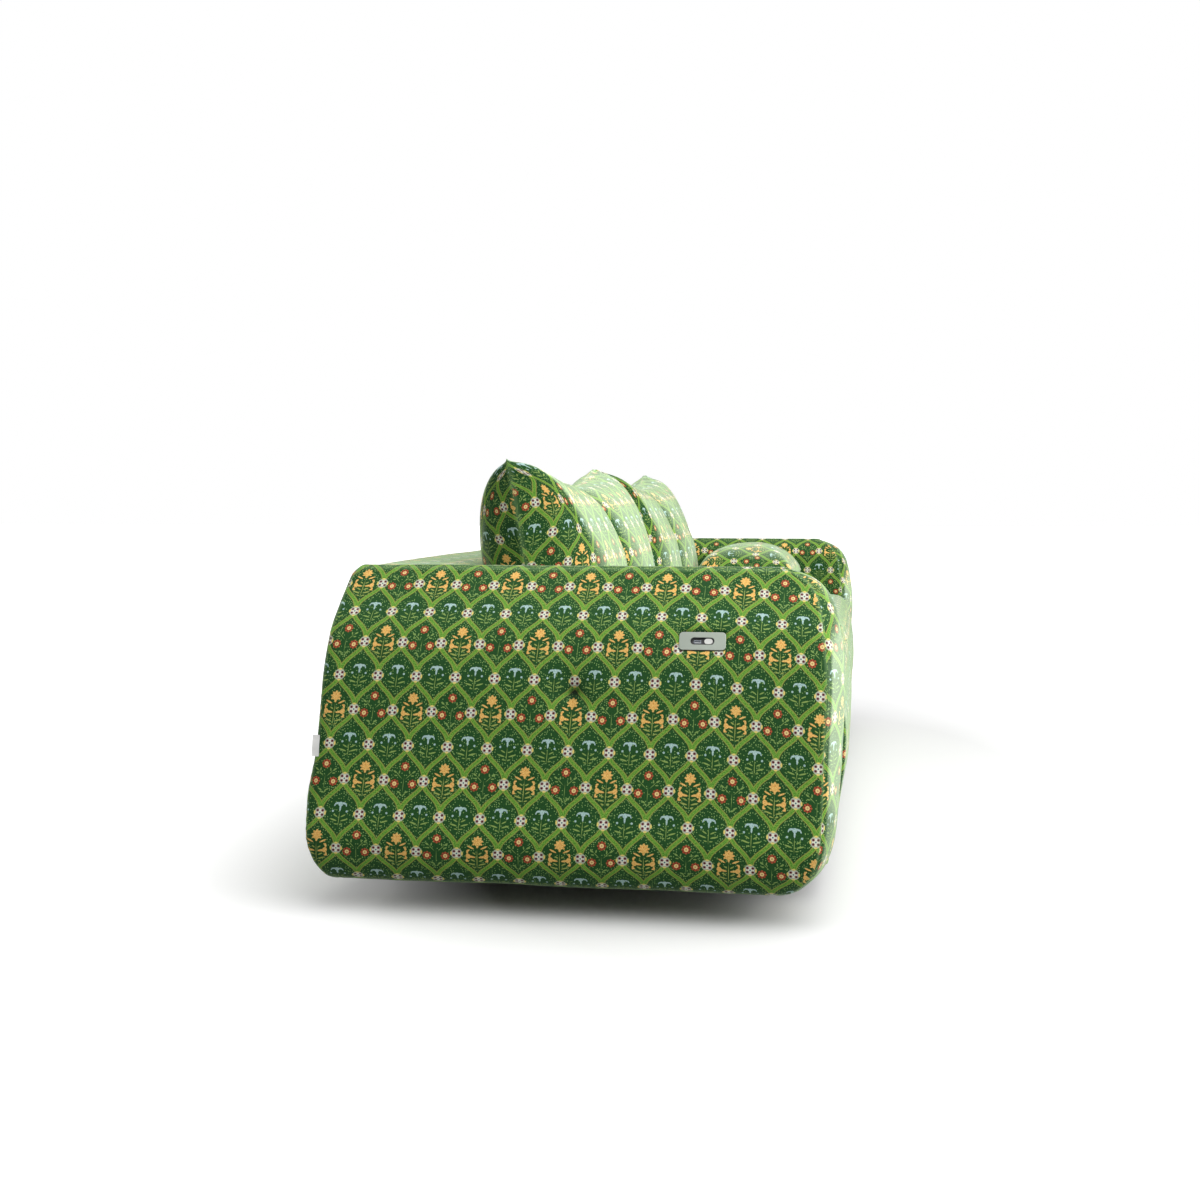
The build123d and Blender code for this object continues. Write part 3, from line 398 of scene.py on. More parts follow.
    # rosettes on every crossing
    corner_a, corner_b = ink.join(xb, ya), ink.join(xa, yb)
    far_a, far_b = ink.vectors("LENGTH", corner_a), ink.vectors("LENGTH", corner_b)
    pick = ink.node("Mix", {0: ink.less(far_a, far_b), 4: corner_b, 5: corner_a}, data_type="VECTOR")
    rosette = ink.vectors("ABSOLUTE", pick.outputs[1])
    far = ink.math("MINIMUM", far_a, far_b)
    ring = ink.mix(ink.ramp(far, 8.2, 8.9), linear(222, 222, 204), linear(176, 184, 158))
    ring = ink.mix(ink.mul(ink.more(far, 7.2), ink.less(far, 8.0)), ring, linear(120, 126, 112))
    knobs = ink.blobs(rosette, (9.8, 0.0, 1.9, 4.2), (0.0, 9.8, 3.6, 1.9))
    ring = ink.mix(knobs, ring, linear(226, 206, 112))
    ring = ink.mix(ink.blob(rosette, 4.7, 3.9, 3.1, 2.9), ring, linear(156, 146, 140))
    ring = ink.mix(ink.blob(rosette, 4.7, 3.9, 2.3, 2.2), ring, linear(88, 28, 38))
    ring = ink.mix(ink.blob(rosette, 0.0, 0.0, 1.7, 1.7), ring, linear(66, 112, 120))
    colour = ink.mix(ink.most(ink.ramp(far, 10.1, 10.6, 1.0, 0.0), knobs), colour, ring)
    # painted highlight: sewn edges are made paler
    colour = ink.mix(ink.mul(ink.fact("seam"), 0.25), colour, linear(150, 186, 130))
    # painted shade: the tuft's hollow is darkened
    colour = ink.mix(ink.mul(ink.fact("painted_tuft_shade"), 0.9), colour, linear(8, 20, 10))
    # painted sheen: the colour is lifted towards a pale tint where the surface is seen from the side, sooner on
    # panels set to show it readily
    facing = ink.node("LayerWeight", (0.5,)).outputs["Facing"]
    aside = ink.mul(facing, ink.math("MULTIPLY_ADD", ink.fact("nap_sheen"), 1.1, 1.0))
    painted_sheen = ink.math("POWER", ink.ramp(aside, 0.36, 0.82), 1.2)
    painted_sheen = ink.mul(painted_sheen, ink.ramp(facing, 0.84, 1.0, 1.0, 0.7))
    colour = ink.mix(ink.mul(painted_sheen, 0.46), colour, linear(218, 234, 204), blend_type="ADD", clamp_result=True)
    pile = ink.noise(place, 1.6, 3.0, 0.6)
    normal = ink.bump(ink.noise(place, 0.11, 2.0), 0.25, 0.0016)
    normal = ink.bump(pile, 0.35, 0.0005, normal)
    return ink.finish(
        colour, ink.ramp(pile, 0.3, 0.7, 0.72, 0.9), normal,
        Sheen_Weight=0.6, Sheen_Roughness=0.32, Sheen_Tint=linear(206, 232, 196), Specular_IOR_Level=0.25,
    )


def plain(name, colour, rough, vary=0.12, **facts):
    """Moulded or painted: slight unevenness in tone, roughness and surface."""
    ink = Ink(name)
    at = ink.place()
    fine = ink.noise(at, 720.0, 3.0)
    tone = ink.mix(ink.ramp(ink.noise(at, 15.0, 2.0), 0.3, 0.7), dimmed(colour, 1 - vary), colour)
    rough = ink.ramp(fine, 0.3, 0.7, rough - 0.06, rough + 0.06)
    return ink.finish(tone, rough, ink.bump(fine, 0.3, 0.0002), **facts)


def wood(name, light, dark, rough=0.55):
    """Grain that runs in long streaks, with fine pores."""
    ink = Ink(name)
    at = ink.stretched(ink.place(), (3.0, 3.0, 40.0))
    rings = ink.noise(at, 2.2, 4.0, 0.6)
    pores = ink.noise(at, 26.0, 2.0, 0.7)
    tone = ink.mix(ink.ramp(rings, 0.32, 0.68), dark, light)
    tone = ink.mix(ink.ramp(pores, 0.52, 0.7, 0.0, 0.5), tone, dark)
    return ink.finish(tone, ink.ramp(rings, 0.3, 0.7, rough - 0.08, rough + 0.08), ink.bump(pores, 0.3, 0.0004))


def metal(name, colour, rough, brushed=1.0):
    """Brushed or plated metal."""
    ink = Ink(name)
    at = ink.place()
    lines = ink.noise(ink.stretched(at, (200.0, 40.0, 1200.0)), 1.0, 3.0)
    tone = ink.mix(ink.ramp(ink.noise(at, 14.0, 3.0), 0.3, 0.7), dimmed(colour, 0.88), colour)
    normal = ink.bump(lines, 0.12 * brushed, 0.0001)
    return ink.finish(tone, ink.ramp(lines, 0.3, 0.7, rough - 0.05, rough + 0.08), normal, Metallic=1.0)


def woven(name, colour, other, pitch):
    """Plain cloth: two crossing sets of threads, a pitch in millimetres apart."""
    ink = Ink(name)
    at = ink.place()
    x, y, z = ink.split(at)
    across, along = (ink.math("SINE", ink.mul(way, 2000 * math.pi / pitch)) for way in (x, ink.add(y, z)))
    weave = ink.math("MULTIPLY_ADD", ink.mul(across, along), 0.5, 0.5)
    tone = ink.mix(weave, other, colour)
    tone = ink.mix(ink.ramp(ink.noise(at, 30.0, 3.0), 0.35, 0.65, 0.0, 0.25), tone, other)
    return ink.finish(tone, 0.9, ink.bump(weave, 0.5, 0.0004), Sheen_Weight=0.3, Sheen_Roughness=0.5)


def porous(name, colour):
    """Cut upholstery foam, with open cells."""
    ink = Ink(name)
    at = ink.place()
    cells = ink.node("TexVoronoi", {"Vector": at, "Scale": 420.0}).outputs["Distance"]
    slow = ink.noise(at, 9.0, 2.0)
    tone = ink.mix(ink.ramp(slow, 0.3, 0.7), dimmed(colour, 0.85), colour)
    return ink.finish(tone, ink.ramp(slow, 0.3, 0.7, 0.85, 0.95), ink.bump(cells, 0.6, 0.0006))


looks = {
    "velvet": trellis_velvet("trellis_velvet"),
    "foam": porous("cut_foam", linear(236, 226, 190)),
    "frame_wood": wood("beech", linear(206, 168, 120), linear(168, 124, 80)),
    "dark_wood": wood("stained_wood", linear(66, 44, 30), linear(36, 23, 16), 0.4),
    "black_plastic": plain("black_plastic", linear(34, 35, 37), 0.45),
    "light_plastic": plain("light_plastic", linear(214, 215, 210), 0.38, 0.05, Coat_Weight=0.2),
    "white_plastic": plain("white_plastic", linear(238, 238, 234), 0.35, 0.04),
    "glide_plastic": plain("glide_plastic", linear(70, 70, 72), 0.6),
    "circuit_board": plain("circuit_board", linear(26, 84, 54), 0.4, 0.3),
    "actuator_paint": plain("actuator_paint", linear(46, 48, 52), 0.42, 0.15),
    "bolt_steel": metal("bolt_steel", linear(150, 150, 152), 0.35),
    "slide_steel": metal("slide_steel", linear(186, 190, 196), 0.32),
    "rod_chrome": metal("rod_chrome", linear(226, 228, 230), 0.14, 0.3),
    "socket_steel": metal("socket_steel", linear(196, 204, 214), 0.28),
    "plate_metal": metal("plate_metal", linear(140, 147, 138), 0.36, 0.6),
    "dust_cloth": woven("dust_cloth", linear(30, 30, 32), linear(18, 18, 20), 1.6),
    "webbing": woven("webbing", linear(196, 186, 160), linear(120, 72, 52), 3.0),
    "tag_cloth": woven("tag_cloth", linear(250, 250, 248), linear(240, 240, 236), 0.9),
}
slot_of = {part["node"]: part["material_slot"] for part in frame["record"]["subparts"]}
for node, obj in frame["nodes"].items():
    obj.data.materials.clear()
    obj.data.materials.append(looks[slot_of[node]])


# Arms: rings of points at levels that follow the outer profile

# height, front, rear, lean, crest and bow, each a share
ARM_LEVELS = np.array(
    [
        (0.000, 0.812, 0.923, 0.342, 0.00, 0.35), (0.011, 0.857, 0.941, 0.250, 0.00, 0.40),
        (0.037, 0.901, 0.959, 0.145, 0.00, 0.50), (0.081, 0.945, 0.980, 0.053, 0.00, 0.60),
        (0.151, 0.974, 0.996, 0.000, 0.00, 0.70), (0.257, 0.985, 1.000, 0.053, 0.00, 0.80),
        (0.433, 0.989, 0.972, 0.138, 0.00, 0.95), (0.662, 1.000, 0.963, 0.276, 0.00, 1.00),
        (0.785, 0.987, 0.955, 0.421, 0.00, 0.95), (0.891, 0.967, 0.941, 0.684, 0.05, 0.80),
        (0.952, 0.929, 0.929, 0.855, 0.30, 0.60), (0.982, 0.881, 0.919, 0.934, 0.62, 0.40),
        (1.000, 0.821, 0.896, 1.000, 1.00, 0.30),
    ]
)
ARM_BOTTOM, ARM_HEIGHT, ARM_LEAN = 0.054, 0.568, 0.152
ARM_FRONT, ARM_REAR = 0.453, 0.488
PLATE_Y, PLATE_Z, PLATE_HALF = -0.230, 0.497, 0.017
TUFT_Z = 0.406
PRINT_Z = 0.2449  # height of a row of the print on the arm's outer side
BEND = 6  # steps round a corner


def profile_lengths(table):
    """Running length up the arm's outer profile."""
    return lengths(np.stack([table[:, 3] * ARM_LEAN, table[:, 0] * ARM_HEIGHT], 1))


def with_places(at, wanted, clear):
    """Places in order, with the wanted ones put in and those too near to them left out."""
    far = np.abs(at[:, None] - np.asarray(wanted)[None]).min(1) > clear
    far[[0, -1]] = True
    return np.sort(np.concatenate([at[far], wanted]))


def arm_levels(spacing, heights=()):
    """The level table at even steps up the outer profile and at some heights, and each level's place there."""
    knots = profile_lengths(ARM_LEVELS)
    dense = np.linspace(0, knots[-1], 1500)
    table = np.stack([through(knots, ARM_LEVELS[:, k], dense) for k in range(6)], 1)
    run = profile_lengths(table)
    at = np.linspace(0, run[-1], int(round(run[-1] / spacing)) + 1)
    if len(heights):
        wanted = np.interp([(z - ARM_BOTTOM) / ARM_HEIGHT for z in heights], table[:, 0], run)
        at = with_places(at, wanted, spacing * 0.4)
    rows = np.stack([np.interp(at, run, table[:, k]) for k in range(6)], 1)
    return rows, at - np.interp((PRINT_Z - ARM_BOTTOM) / ARM_HEIGHT, table[:, 0], run)


def corner_points(start, corner, end):
    """The inner points of a rounded corner."""
    t = np.linspace(0, 1, BEND + 1)[1:-1, None]
    return (1 - t) ** 2 * start + 2 * t * (1 - t) * corner + t * t * end


def outer_x(share):
    """X of the left arm's outer side at a share of its height."""
    return -HALF + ARM_LEAN * np.interp(share, ARM_LEVELS[:, 0], ARM_LEVELS[:, 3])


def plate_face(z):
    """X of the flat that the control plate sits on."""
    low, high = outer_x((np.array([PLATE_Z - PLATE_HALF, PLATE_Z + PLATE_HALF]) - ARM_BOTTOM) / ARM_HEIGHT)
    return (low + high) / 2 + (z - PLATE_Z) * (high - low) / (2 * PLATE_HALF)


def arm_nap_sheen(panel_of, z):
    """How readily the painted sheen shows: little on the arm's sides, more in the middle of its front border."""
    rise, fall = np.clip((z - 0.18) / 0.20, 0, 1), np.clip((0.53 - z) / 0.08, 0, 1)
    return np.where(panel_of[None] == 1, -0.2 + 1.2 * rise * fall, -0.4)


def arm_ring(level, skin, outer_y, inner_y, ends):
    """One level of the left arm: outer side, front, inner side and rear, each with the corner after it."""
    share, front, rear, lean, crest, bow = level
    xo = -HALF + lean * ARM_LEAN + skin
    xi = -INNER - max(crest * 0.05 - 0.006, 0) - skin
    yf, yr = -front * ARM_FRONT + skin, rear * ARM_REAR - skin
    width = xi - xo
    r = min(0.012, 0.3 * width)

    def side(x, y):
        """A long side, with its ends drawn to where the corners start."""
        y = np.where(y < -0.34, -0.34 + (y + 0.34) * (yf + 1.6 * r + 0.34) / -0.10, y)
        y = np.where(y > 0.40, 0.40 + (y - 0.40) * (yr - 1.6 * r - 0.40) / 0.07, y)
        return np.stack([np.full(len(y), x), y], 1)

    def end(t, y, bulge):
        x = xo + r + (width - 2 * r) * t
        return np.stack([x, y + bulge * (1 - (2 * (x - xo) / width - 1) ** 2)], 1)

    sides = [side(xo, outer_y), end(ends, yf, -bow * 0.03), side(xi, inner_y), end(ends[::-1], yr, bow * 0.005)]
    parts = []
    for k, corner in enumerate(((xo, yf), (xi, yf), (xi, yr), (xo, yr))):
        parts += [sides[k], corner_points(sides[k][-1], np.array(corner), sides[(k + 1) % 4][0])]
    ring = np.concatenate(parts)
    z = ARM_BOTTOM + skin + share * (ARM_HEIGHT - 2 * skin)
    return np.column_stack([ring, np.full(len(ring), z)]), [len(part) for part in parts]


def shrink_ring(ring, keep, rise):
    """A level ring drawn towards its long middle line."""
    low, high = ring.min(0), ring.max(0)
    half = (high[0] - low[0]) / 2
    x = (low[0] + high[0]) / 2
    y = np.clip(ring[:, 1], low[1] + half, high[1] - half)
    return np.column_stack([x + (ring[:, 0] - x) * keep, y + (ring[:, 1] - y) * keep, ring[:, 2] + rise])


def arm_print(points, run, zero):
    """Where each panel's points lie in the cloth; the print's rows slope a little on the outer side."""
    around = grid_lengths(np.concatenate([points, points[:, :1]], 1), 1)
    panels = []
    for k, way in enumerate((1, 0, -1, 0)):
        line = points[:, zero[k]]
        u = around - (around[:, zero[k], None] + way * line[:, 1, None])
        if k == 0:
            skew = 0.060 - 0.075 * u
            droop = 0.010 * (u + 0.4) + 0.07 * np.maximum(u - 0.22, 0)
            panels.append(np.stack([u - 0.0283 - skew * run[:, None], run[:, None] + droop], 2))
            continue
        v = lengths(line[:, [0 if k == 2 else 1, 2]])
        row_z, shift = (0.5873, 0.3022) if k == 2 else (PRINT_Z, 0.0)
        v = v - np.interp(row_z, line[:, 2], v)
        panels.append(np.stack([u + shift, np.broadcast_to(v[:, None], u.shape)], 2))
    return panels


def arm_piece(name, skin, spacing, seed, detail=True):
    """The left arm's cover, or its foam with a skin and fewer points."""
    heights = [PLATE_Z + d for d in (-PLATE_HALF, -0.0145, 0.0145, PLATE_HALF)] if detail else ()
    table, run = arm_levels(spacing, heights)
    outer_y = np.linspace(0.47, -0.44, int(0.91 / (spacing * 0.9)))
    if detail:
        wanted = [PLATE_Y + d for d in (-0.0415, -0.038, 0.038, 0.0415)]
        outer_y = with_places(outer_y, wanted, spacing * 0.35)[::-1]
    inner_y = np.linspace(-0.44, 0.47, int(0.91 / (spacing * 1.8)))
    ends = np.linspace(0, 1, int(0.2 / spacing))
    rings = [arm_ring(level, skin, outer_y, inner_y, ends) for level in table]
    starts = np.cumsum([0] + rings[0][1])
    seams = [starts[k] + (BEND - 1) // 2 for k in (1, 3, 5, 7)]
    points = np.roll(np.array([ring for ring, _ in rings]), -seams[3], 1)
    cols = points.shape[1]
    bounds = [0] + [(at - seams[3]) % cols for at in seams[:3]] + [cols]
    panel_of = np.repeat(range(4), np.diff(bounds))
    # each panel's upright line that the print is measured from
    centre_y = np.abs(points[0, :, 1])
    zero = [
        (bounds[k] + bounds[k + 1]) // 2 if k % 2 else int(np.argmin(np.where(panel_of == k, centre_y, 9)))
        for k in range(4)
    ]
    # the crown over the top, and the turned-in underside
    crown = ((0.86, 0.0014), (0.6, 0.0028), (0.3, 0.0036), (0.04, 0.0038))
    top = [shrink_ring(points[-1], keep, rise) for keep, rise in crown]
    low = [shrink_ring(points[0], keep, -0.0006) for keep in (0.72, 0.88, 0.96)]
    points = np.concatenate([low, points, top])
    seam_row = len(low) + len(run) - 1
    crest_run = run[-1] + np.cumsum([0.002, 0.004, 0.004, 0.003])
    run = np.concatenate([run[0] - np.array([0.024, 0.010, 0.003]), run, crest_run])
    panels = arm_print(points, run, zero)
    seam = np.zeros(points.shape[:2])
    on_outer = (panel_of == 0)[None] & (points[..., 0] < -1.06)
    dy, dz = points[..., 1], run[:, None] - np.interp(TUFT_Z, points[:, zero[0], 2], run)
    far = np.hypot(dy, dz)
    if not detail:
        # the foam keeps clear of the tuft and of the switch behind the plate
        points[..., 0] += np.where(on_outer, 0.020 * np.exp(-((far / 0.04) ** 2)), 0.0)
        behind_plate = (np.abs(points[..., 1] - PLATE_Y) < 0.066) & (np.abs(points[..., 2] - PLATE_Z) < 0.050)
        points[..., 0] += np.where(on_outer & behind_plate, 0.046, 0.0)
    else:
        normals = grid_normals(points, True)
        weight = np.where(panel_of == 2, 0.25, 1.0)[None]
        lift = (ripple(points, 0.16, 0.0022, seed) + ripple(points, 0.045, 0.0007, seed + 3)) * weight
        seam[:, bounds[:4]] = 1
        seam[seam_row, : bounds[1]] = 1
        puckers = waves(points[..., 2], 0.017, 0.7, 1.7, 31)
        for column in bounds[:4]:
            sew(lift, column, 0.0007, (-0.0011, -0.0006), puckers)
        puckers = waves(points[..., 1], 0.019, 0.7, 1.3, 23)
        lift[seam_row, : bounds[1]] += 0.0008
        for row, depth in ((seam_row - 1, -0.0014), (seam_row - 2, -0.0008), (seam_row + 1, -0.0006)):
            lift[row, : bounds[1]] += depth * puckers[row, : bounds[1]]
        # the buttonless tuft, with short folds that run into it
        dip = 0.012 * np.exp(-((far / 0.010) ** 2)) + 0.008 * np.exp(-((far / 0.032) ** 2))
        folds = 0.0014 * np.cos(5 * np.arctan2(dz, dy) + 0.6) * np.exp(-(((far - 0.026) / 0.02) ** 2))
        lift = np.where(on_outer, lift - dip - folds, lift)
        points = points + normals * lift[..., None]
        # the flat under the control plate, and the opening behind it
        dy, dz = np.abs(points[..., 1] - PLATE_Y), np.abs(points[..., 2] - PLATE_Z)
        near = on_outer * np.clip((0.075 - dy) / 0.028, 0, 1) * np.clip((0.045 - dz) / 0.024, 0, 1)
        near = near * near * (3 - 2 * near)
        points[..., 0] = points[..., 0] * (1 - near) + (plate_face(points[..., 2]) + 0.0003) * near
        sunk = on_outer & (dy < 0.0395) & (dz < 0.0155)
        lean = plate_face(PLATE_Z + 1) - plate_face(PLATE_Z)
        points[..., 0] += np.where(sunk, 0.035, 0.0)
        points[..., 2] -= np.where(sunk, 0.035 * lean, 0.0)
    # painted shade for the tuft's hollow, with a fainter wide ring around it
    painted_tuft_shade = np.where(on_outer, np.exp(-((far / 0.008) ** 2)) + 0.25 * np.exp(-((far / 0.03) ** 2)), 0.0)
    # how readily the painted sheen shows at each point
    nap_sheen = arm_nap_sheen(panel_of, points[..., 2])
    facts = {"seam": seam, "nap_sheen": nap_sheen, "painted_tuft_shade": painted_tuft_shade}
    return grid_piece(name, points, panel_of, panels, wrap=True, caps=(0,), close=True, **facts)


for side, seed in (("left", 1), ("right", 9)):
    cover = arm_piece(f"arm_upholstery_{side}", 0.0, 0.0085, seed)
    core = arm_piece(f"arm_padding_{side}", 0.005, 0.02, seed, detail=False)
    if side == "right":
        mirror_piece(cover)
        mirror_piece(core)
    put(cover, "sofa_base", "velvet", f"arm_cover_{side}", fill=0.75)
    put(core, "sofa_base", "foam", f"arm_foam_{side}", fill=0.9)


# Runs of one outline along the sofa, for the back and the seats


def rounded(corners, radius, count=8):
    """A closed outline with its corners rounded where a radius is given."""
    points = []
    for i, (corner, r) in enumerate(zip(corners, radius)):
        before, after = np.array(corners[i - 1]), np.array(corners[(i + 1) % len(corners)])
        corner = np.array(corner)
        if r == 0:
            points.append(corner)
            continue
        start = corner + (before - corner) / np.linalg.norm(before - corner) * r
        end = corner + (after - corner) / np.linalg.norm(after - corner) * r
        for t in np.linspace(0, 1, count):
            points.append((1 - t) ** 2 * start + 2 * t * (1 - t) * corner + t * t * end)
    return np.array(points)


def even_ring(points, spacing):
    """A closed outline at even steps."""
    closed = np.concatenate([points, points[:1]])
    run = lengths(closed)
    at = np.linspace(0, run[-1], int(round(run[-1] / spacing)) + 1)[:-1]
    return np.stack([np.interp(at, run, closed[:, k]) for k in range(2)], 1)


def inset(ring, depth):
    """A closed outline drawn inward."""
    tangent = np.roll(ring, -1, 0) - np.roll(ring, 1, 0)
    tangent /= np.linalg.norm(tangent, axis=1)[:, None]
    return ring - np.stack([tangent[:, 1], -tangent[:, 0]], 1) * depth


def run_piece(name, ring, xs, draws, offset=(0.0, 0.0), shape=None, seam_at=(), turn_at=0):
    """An outline in Y and Z run along X, drawn in at each place. From turn_at on, the cloth's top is turned round."""
    points = np.array([np.column_stack([np.full(len(ring), x), inset(ring, d)]) for x, d in zip(xs, draws)])
    run = lengths(np.concatenate([ring, ring[:1]]))
    u = np.broadcast_to(np.asarray(xs)[:, None], (len(xs), len(run)))
    panels = [np.stack([u + offset[0], way * np.broadcast_to(run, u.shape) + offset[1]], 2) for way in (1, -1)]
    seam = np.zeros(points.shape[:2])
    seam[:, list(seam_at)] = 1
    if shape is not None:
        points = shape(points, grid_normals(points, True))
    panel_of = (np.arange(len(ring)) >= turn_at).astype(int)
    return grid_piece(name, points, panel_of, panels, wrap=True, caps=(0, -1), cap_axes=(1, 2), seam=seam)


def nearest(ring, y, z):
    """The point of an outline nearest to a place."""
    return int(np.argmin(np.hypot(ring[:, 0] - y, ring[:, 1] - z)))


def end_rounding(half, middle, size, step):
    """Places along X with how far the outline is drawn in at each."""
    edge = [(0.0, 1.0), (0.04, 0.75), (0.12, 0.52), (0.3, 0.29), (0.6, 0.08), (1.0, 0.0)]
    inner = np.linspace(-half + size, half - size, int(2 * half / step))[1:-1]
    xs = [middle - half + a * size for a, _ in edge] + list(middle + inner)
    xs += [middle + half - a * size for a, _ in reversed(edge)]
    draws = [d * size for _, d in edge] + [0.0] * len(inner) + [d * size for _, d in reversed(edge)]
    return np.array(xs), np.array(draws)


# Back between the arms

back_corners = [
    (0.480, 0.054), (0.480, 0.300), (0.460, 0.620), (BOLSTER, 0.620), (BOLSTER, 0.460), (0.415, 0.460),
    (0.415, 0.054),
]
back_ring = even_ring(rounded(back_corners, (0.026, 0.12, 0.026, 0.026, 0.026, 0, 0)), 0.009)
back_xs, back_draws = end_rounding(INNER - 0.0005, 0.0, 0.012, 0.013)
back_seams = [nearest(back_ring, 0.458, 0.612), nearest(back_ring, 0.262, 0.614)]


def soften_back(points, normals):
    """A low crown between the arms, pulled in at the seams."""
    x, y, z = (points[..., k] for k in range(3))
    free = (y > 0.30) & (z > 0.08) & ~((y < 0.42) & (z < 0.6))
    lift = np.where(free, 0.004 * (1 - (x / INNER) ** 6) + ripple(points, 0.22, 0.0016, 21), 0.0)
    for column in back_seams:
        sew(lift, column, 0.0008, (-0.0014,), waves(x, 0.02))
    return points + normals * lift[..., None]


back = run_piece(
    "back_upholstery", back_ring, back_xs, back_draws, (0.0, 0.02), soften_back, back_seams, back_seams[1]
)
put(back, "sofa_base", "velvet", "back_cover", fill=0.75)
back_core = run_piece("back_padding", even_ring(back_ring, 0.03), np.linspace(-0.978, 0.978, 20), np.full(20, 0.005))
put(back_core, "sofa_base", "foam", "back_foam", fill=0.9)

# Seats: crowned slab, rounded nose, front and apron

seat_path = np.array(
    [
        (0.3995, 0.3285), (0.3995, 0.424), (0.395, 0.436), (0.384, 0.4400), (0.30, 0.4400), (0.10, 0.4400),
        (-0.06, 0.4400), (-0.16, 0.4475), (-0.25, 0.4535), (-0.34, 0.4568), (-0.412, 0.4568), (-0.438, 0.4535),
        (-0.455, 0.4450), (-0.4685, 0.4280), (-0.4765, 0.4020), (-0.4825, 0.3600), (-0.4868, 0.3100),
        (-0.4850, 0.2600), (-0.4768, 0.2040), (-0.4685, 0.1570), (-0.4600, 0.1100), (-0.4520, 0.0780),
        (-0.4450, 0.0640), (-0.4380, 0.0620), (-0.4290, 0.0640), (-0.4290, 0.3285),
    ]
)
path_run = lengths(seat_path)
dense_run = np.linspace(0, path_run[-1], 900)
seat_ring = even_ring(np.stack([through(path_run, seat_path[:, k], dense_run) for k in range(2)], 1), 0.0085)
nose_seam = nearest(seat_ring, -0.4685, 0.4280)
slab = even_ring(inset(seat_ring, 0.014), 0.02)
slab = slab[(slab[:, 1] > 0.332) & ~((slab[:, 0] < -0.425) & (slab[:, 0] > -0.44) & (slab[:, 1] < 0.44))]
pad = even_ring(inset(seat_ring, 0.013), 0.012)
pad = pad[(pad[:, 1] < 0.326) & (pad[:, 0] < -0.4475)]
pad = np.concatenate([pad, [(-0.4475, pad[-1, 1]), (-0.4475, pad[0, 1])]])


def soften_seat(points, normals, seed):
    """A crown from side to side, soft unevenness and a seam along the nose."""
    x, y, z = (points[..., k] for k in range(3))
    middle = (points[0, 0, 0] + points[-1, 0, 0]) / 2
    half = abs(points[-1, 0, 0] - points[0, 0, 0]) / 2
    across = np.abs((x - middle) / half)
    top, front = (y < -0.06) & (z > 0.40), (y < -0.45) & (z < 0.43)
    lift = np.where(top, -0.007 * across**4 + ripple(points, 0.15, 0.0020, seed), 0.0)
    lift += np.where(front, -0.005 * across**4 + ripple(points, 0.12, 0.0022, seed + 2), 0.0)
    sew(lift, nose_seam, 0.0010, (-0.0016, -0.0008), waves(x, 0.021))
    return points + normals * lift[..., None]


for side, sign, seed in (("left", -1, 31), ("right", 1, 47)):
    xs, draws = end_rounding(SEAT_HALF, sign * SEAT_MIDDLE, 0.016, 0.011)
    cover = run_piece(
        f"seat_upholstery_{side}", seat_ring, xs, draws, (0.012 * sign, 0.015),
        lambda points, normals: soften_seat(points, normals, seed), (nose_seam,),
    )
    put(cover, f"seat_{side}", "velvet", f"seat_cover_{side}", fill=0.8)
    xs = sign * SEAT_MIDDLE + np.linspace(-0.470, 0.470, 14)
    for part, ring, node, fill in (("padding", slab, "foam", 0.95), ("front_padding", pad, "front_pad", 0.9)):
        core = run_piece(f"seat_{part}_{side}", ring, xs, np.zeros(14))
        put(core, f"seat_{side}", "foam", f"seat_{node}_{side}", fill=fill)

# Elastic straps under the seats


def straps(name, node):
    """Eight straps that sag a little between the frame's rails, each with two faces and edges."""
    low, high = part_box(node)
    verts, faces = [], []
    count, width, steps = 8, 0.060, 28
    pitch = (high.y - low.y - width) / (count - 1)
    loop = [0, 2, 4, 6, 7, 5, 3, 1]
    for strap in range(count):
        start = len(verts)
        y = low.y + strap * pitch
        for i in range(steps + 1):
            t = i / steps
            x = low.x + t * (high.x - low.x)
            sag = -0.006 * (1 - (2 * t - 1) ** 4)
            for across in (0.0, 0.02, 0.98, 1.0):
                edge = 0.0004 if across in (0.0, 1.0) else 0.0
                for z in (low.z + edge, high.z - 0.0004 - edge):
                    verts.append((x, y + across * width, z + sag))
        for i in range(steps):
            a, b = start + i * 8, start + (i + 1) * 8
            faces += [(a + p, b + p, b + q, a + q) for p, q in zip(loop, loop[1:] + loop[:1])]
        faces.append(tuple(start + k for k in loop))
        faces.append(tuple(start + steps * 8 + k for k in reversed(loop)))
    return make_piece(name, verts, faces)


for side in ("left", "right"):
    put(straps(f"seat_straps_{side}", f"seat_webbing_{side}"), f"seat_{side}", "webbing", f"seat_webbing_{side}")


# Flat cloths


def cloth_grid(name, place, rows, cols):
    """A sheet whose points are given by a function of two shares."""
    points = np.array([[place(c / cols, r / rows) for c in range(cols + 1)] for r in range(rows + 1)])
    u, v = np.meshgrid(np.linspace(0, 1, cols + 1), np.linspace(0, 1, rows + 1))
    return grid_piece(name, points, np.zeros(cols, int), [np.stack([u, v], 2)])


def dust_place(u, v):
    """The cloth under the base sags a little in two bays."""
    x, y = (2 * u - 1) * (INNER - 0.002), (2 * v - 1) * 0.413
    sag = abs(math.sin(math.pi * 2 * u)) * math.sin(math.pi * v)
    return (x, y, 0.0688 - 0.003 * sag)


dust = cloth_grid("underside_cloth", dust_place, 40, 90)
put(dust, "sofa_base", "dust_cloth", "dust_cloth")


def tag_place(u, v):
    """The tag hangs from the rear seam, with its free end curled a little."""
    z = 0.283 + v * 0.038
    x = outer_x((z - ARM_BOTTOM) / ARM_HEIGHT)
    return (x - 0.0020 - 0.0012 * (1 - u) ** 2 + 0.0003 * math.sin(9 * v), 0.465 + u * 0.014, z)


tag = cloth_grid("blank_tag", tag_place, 20, 8)
put(tag, "sofa_base", "tag_cloth", "sewn_tag")

# Loose cushions

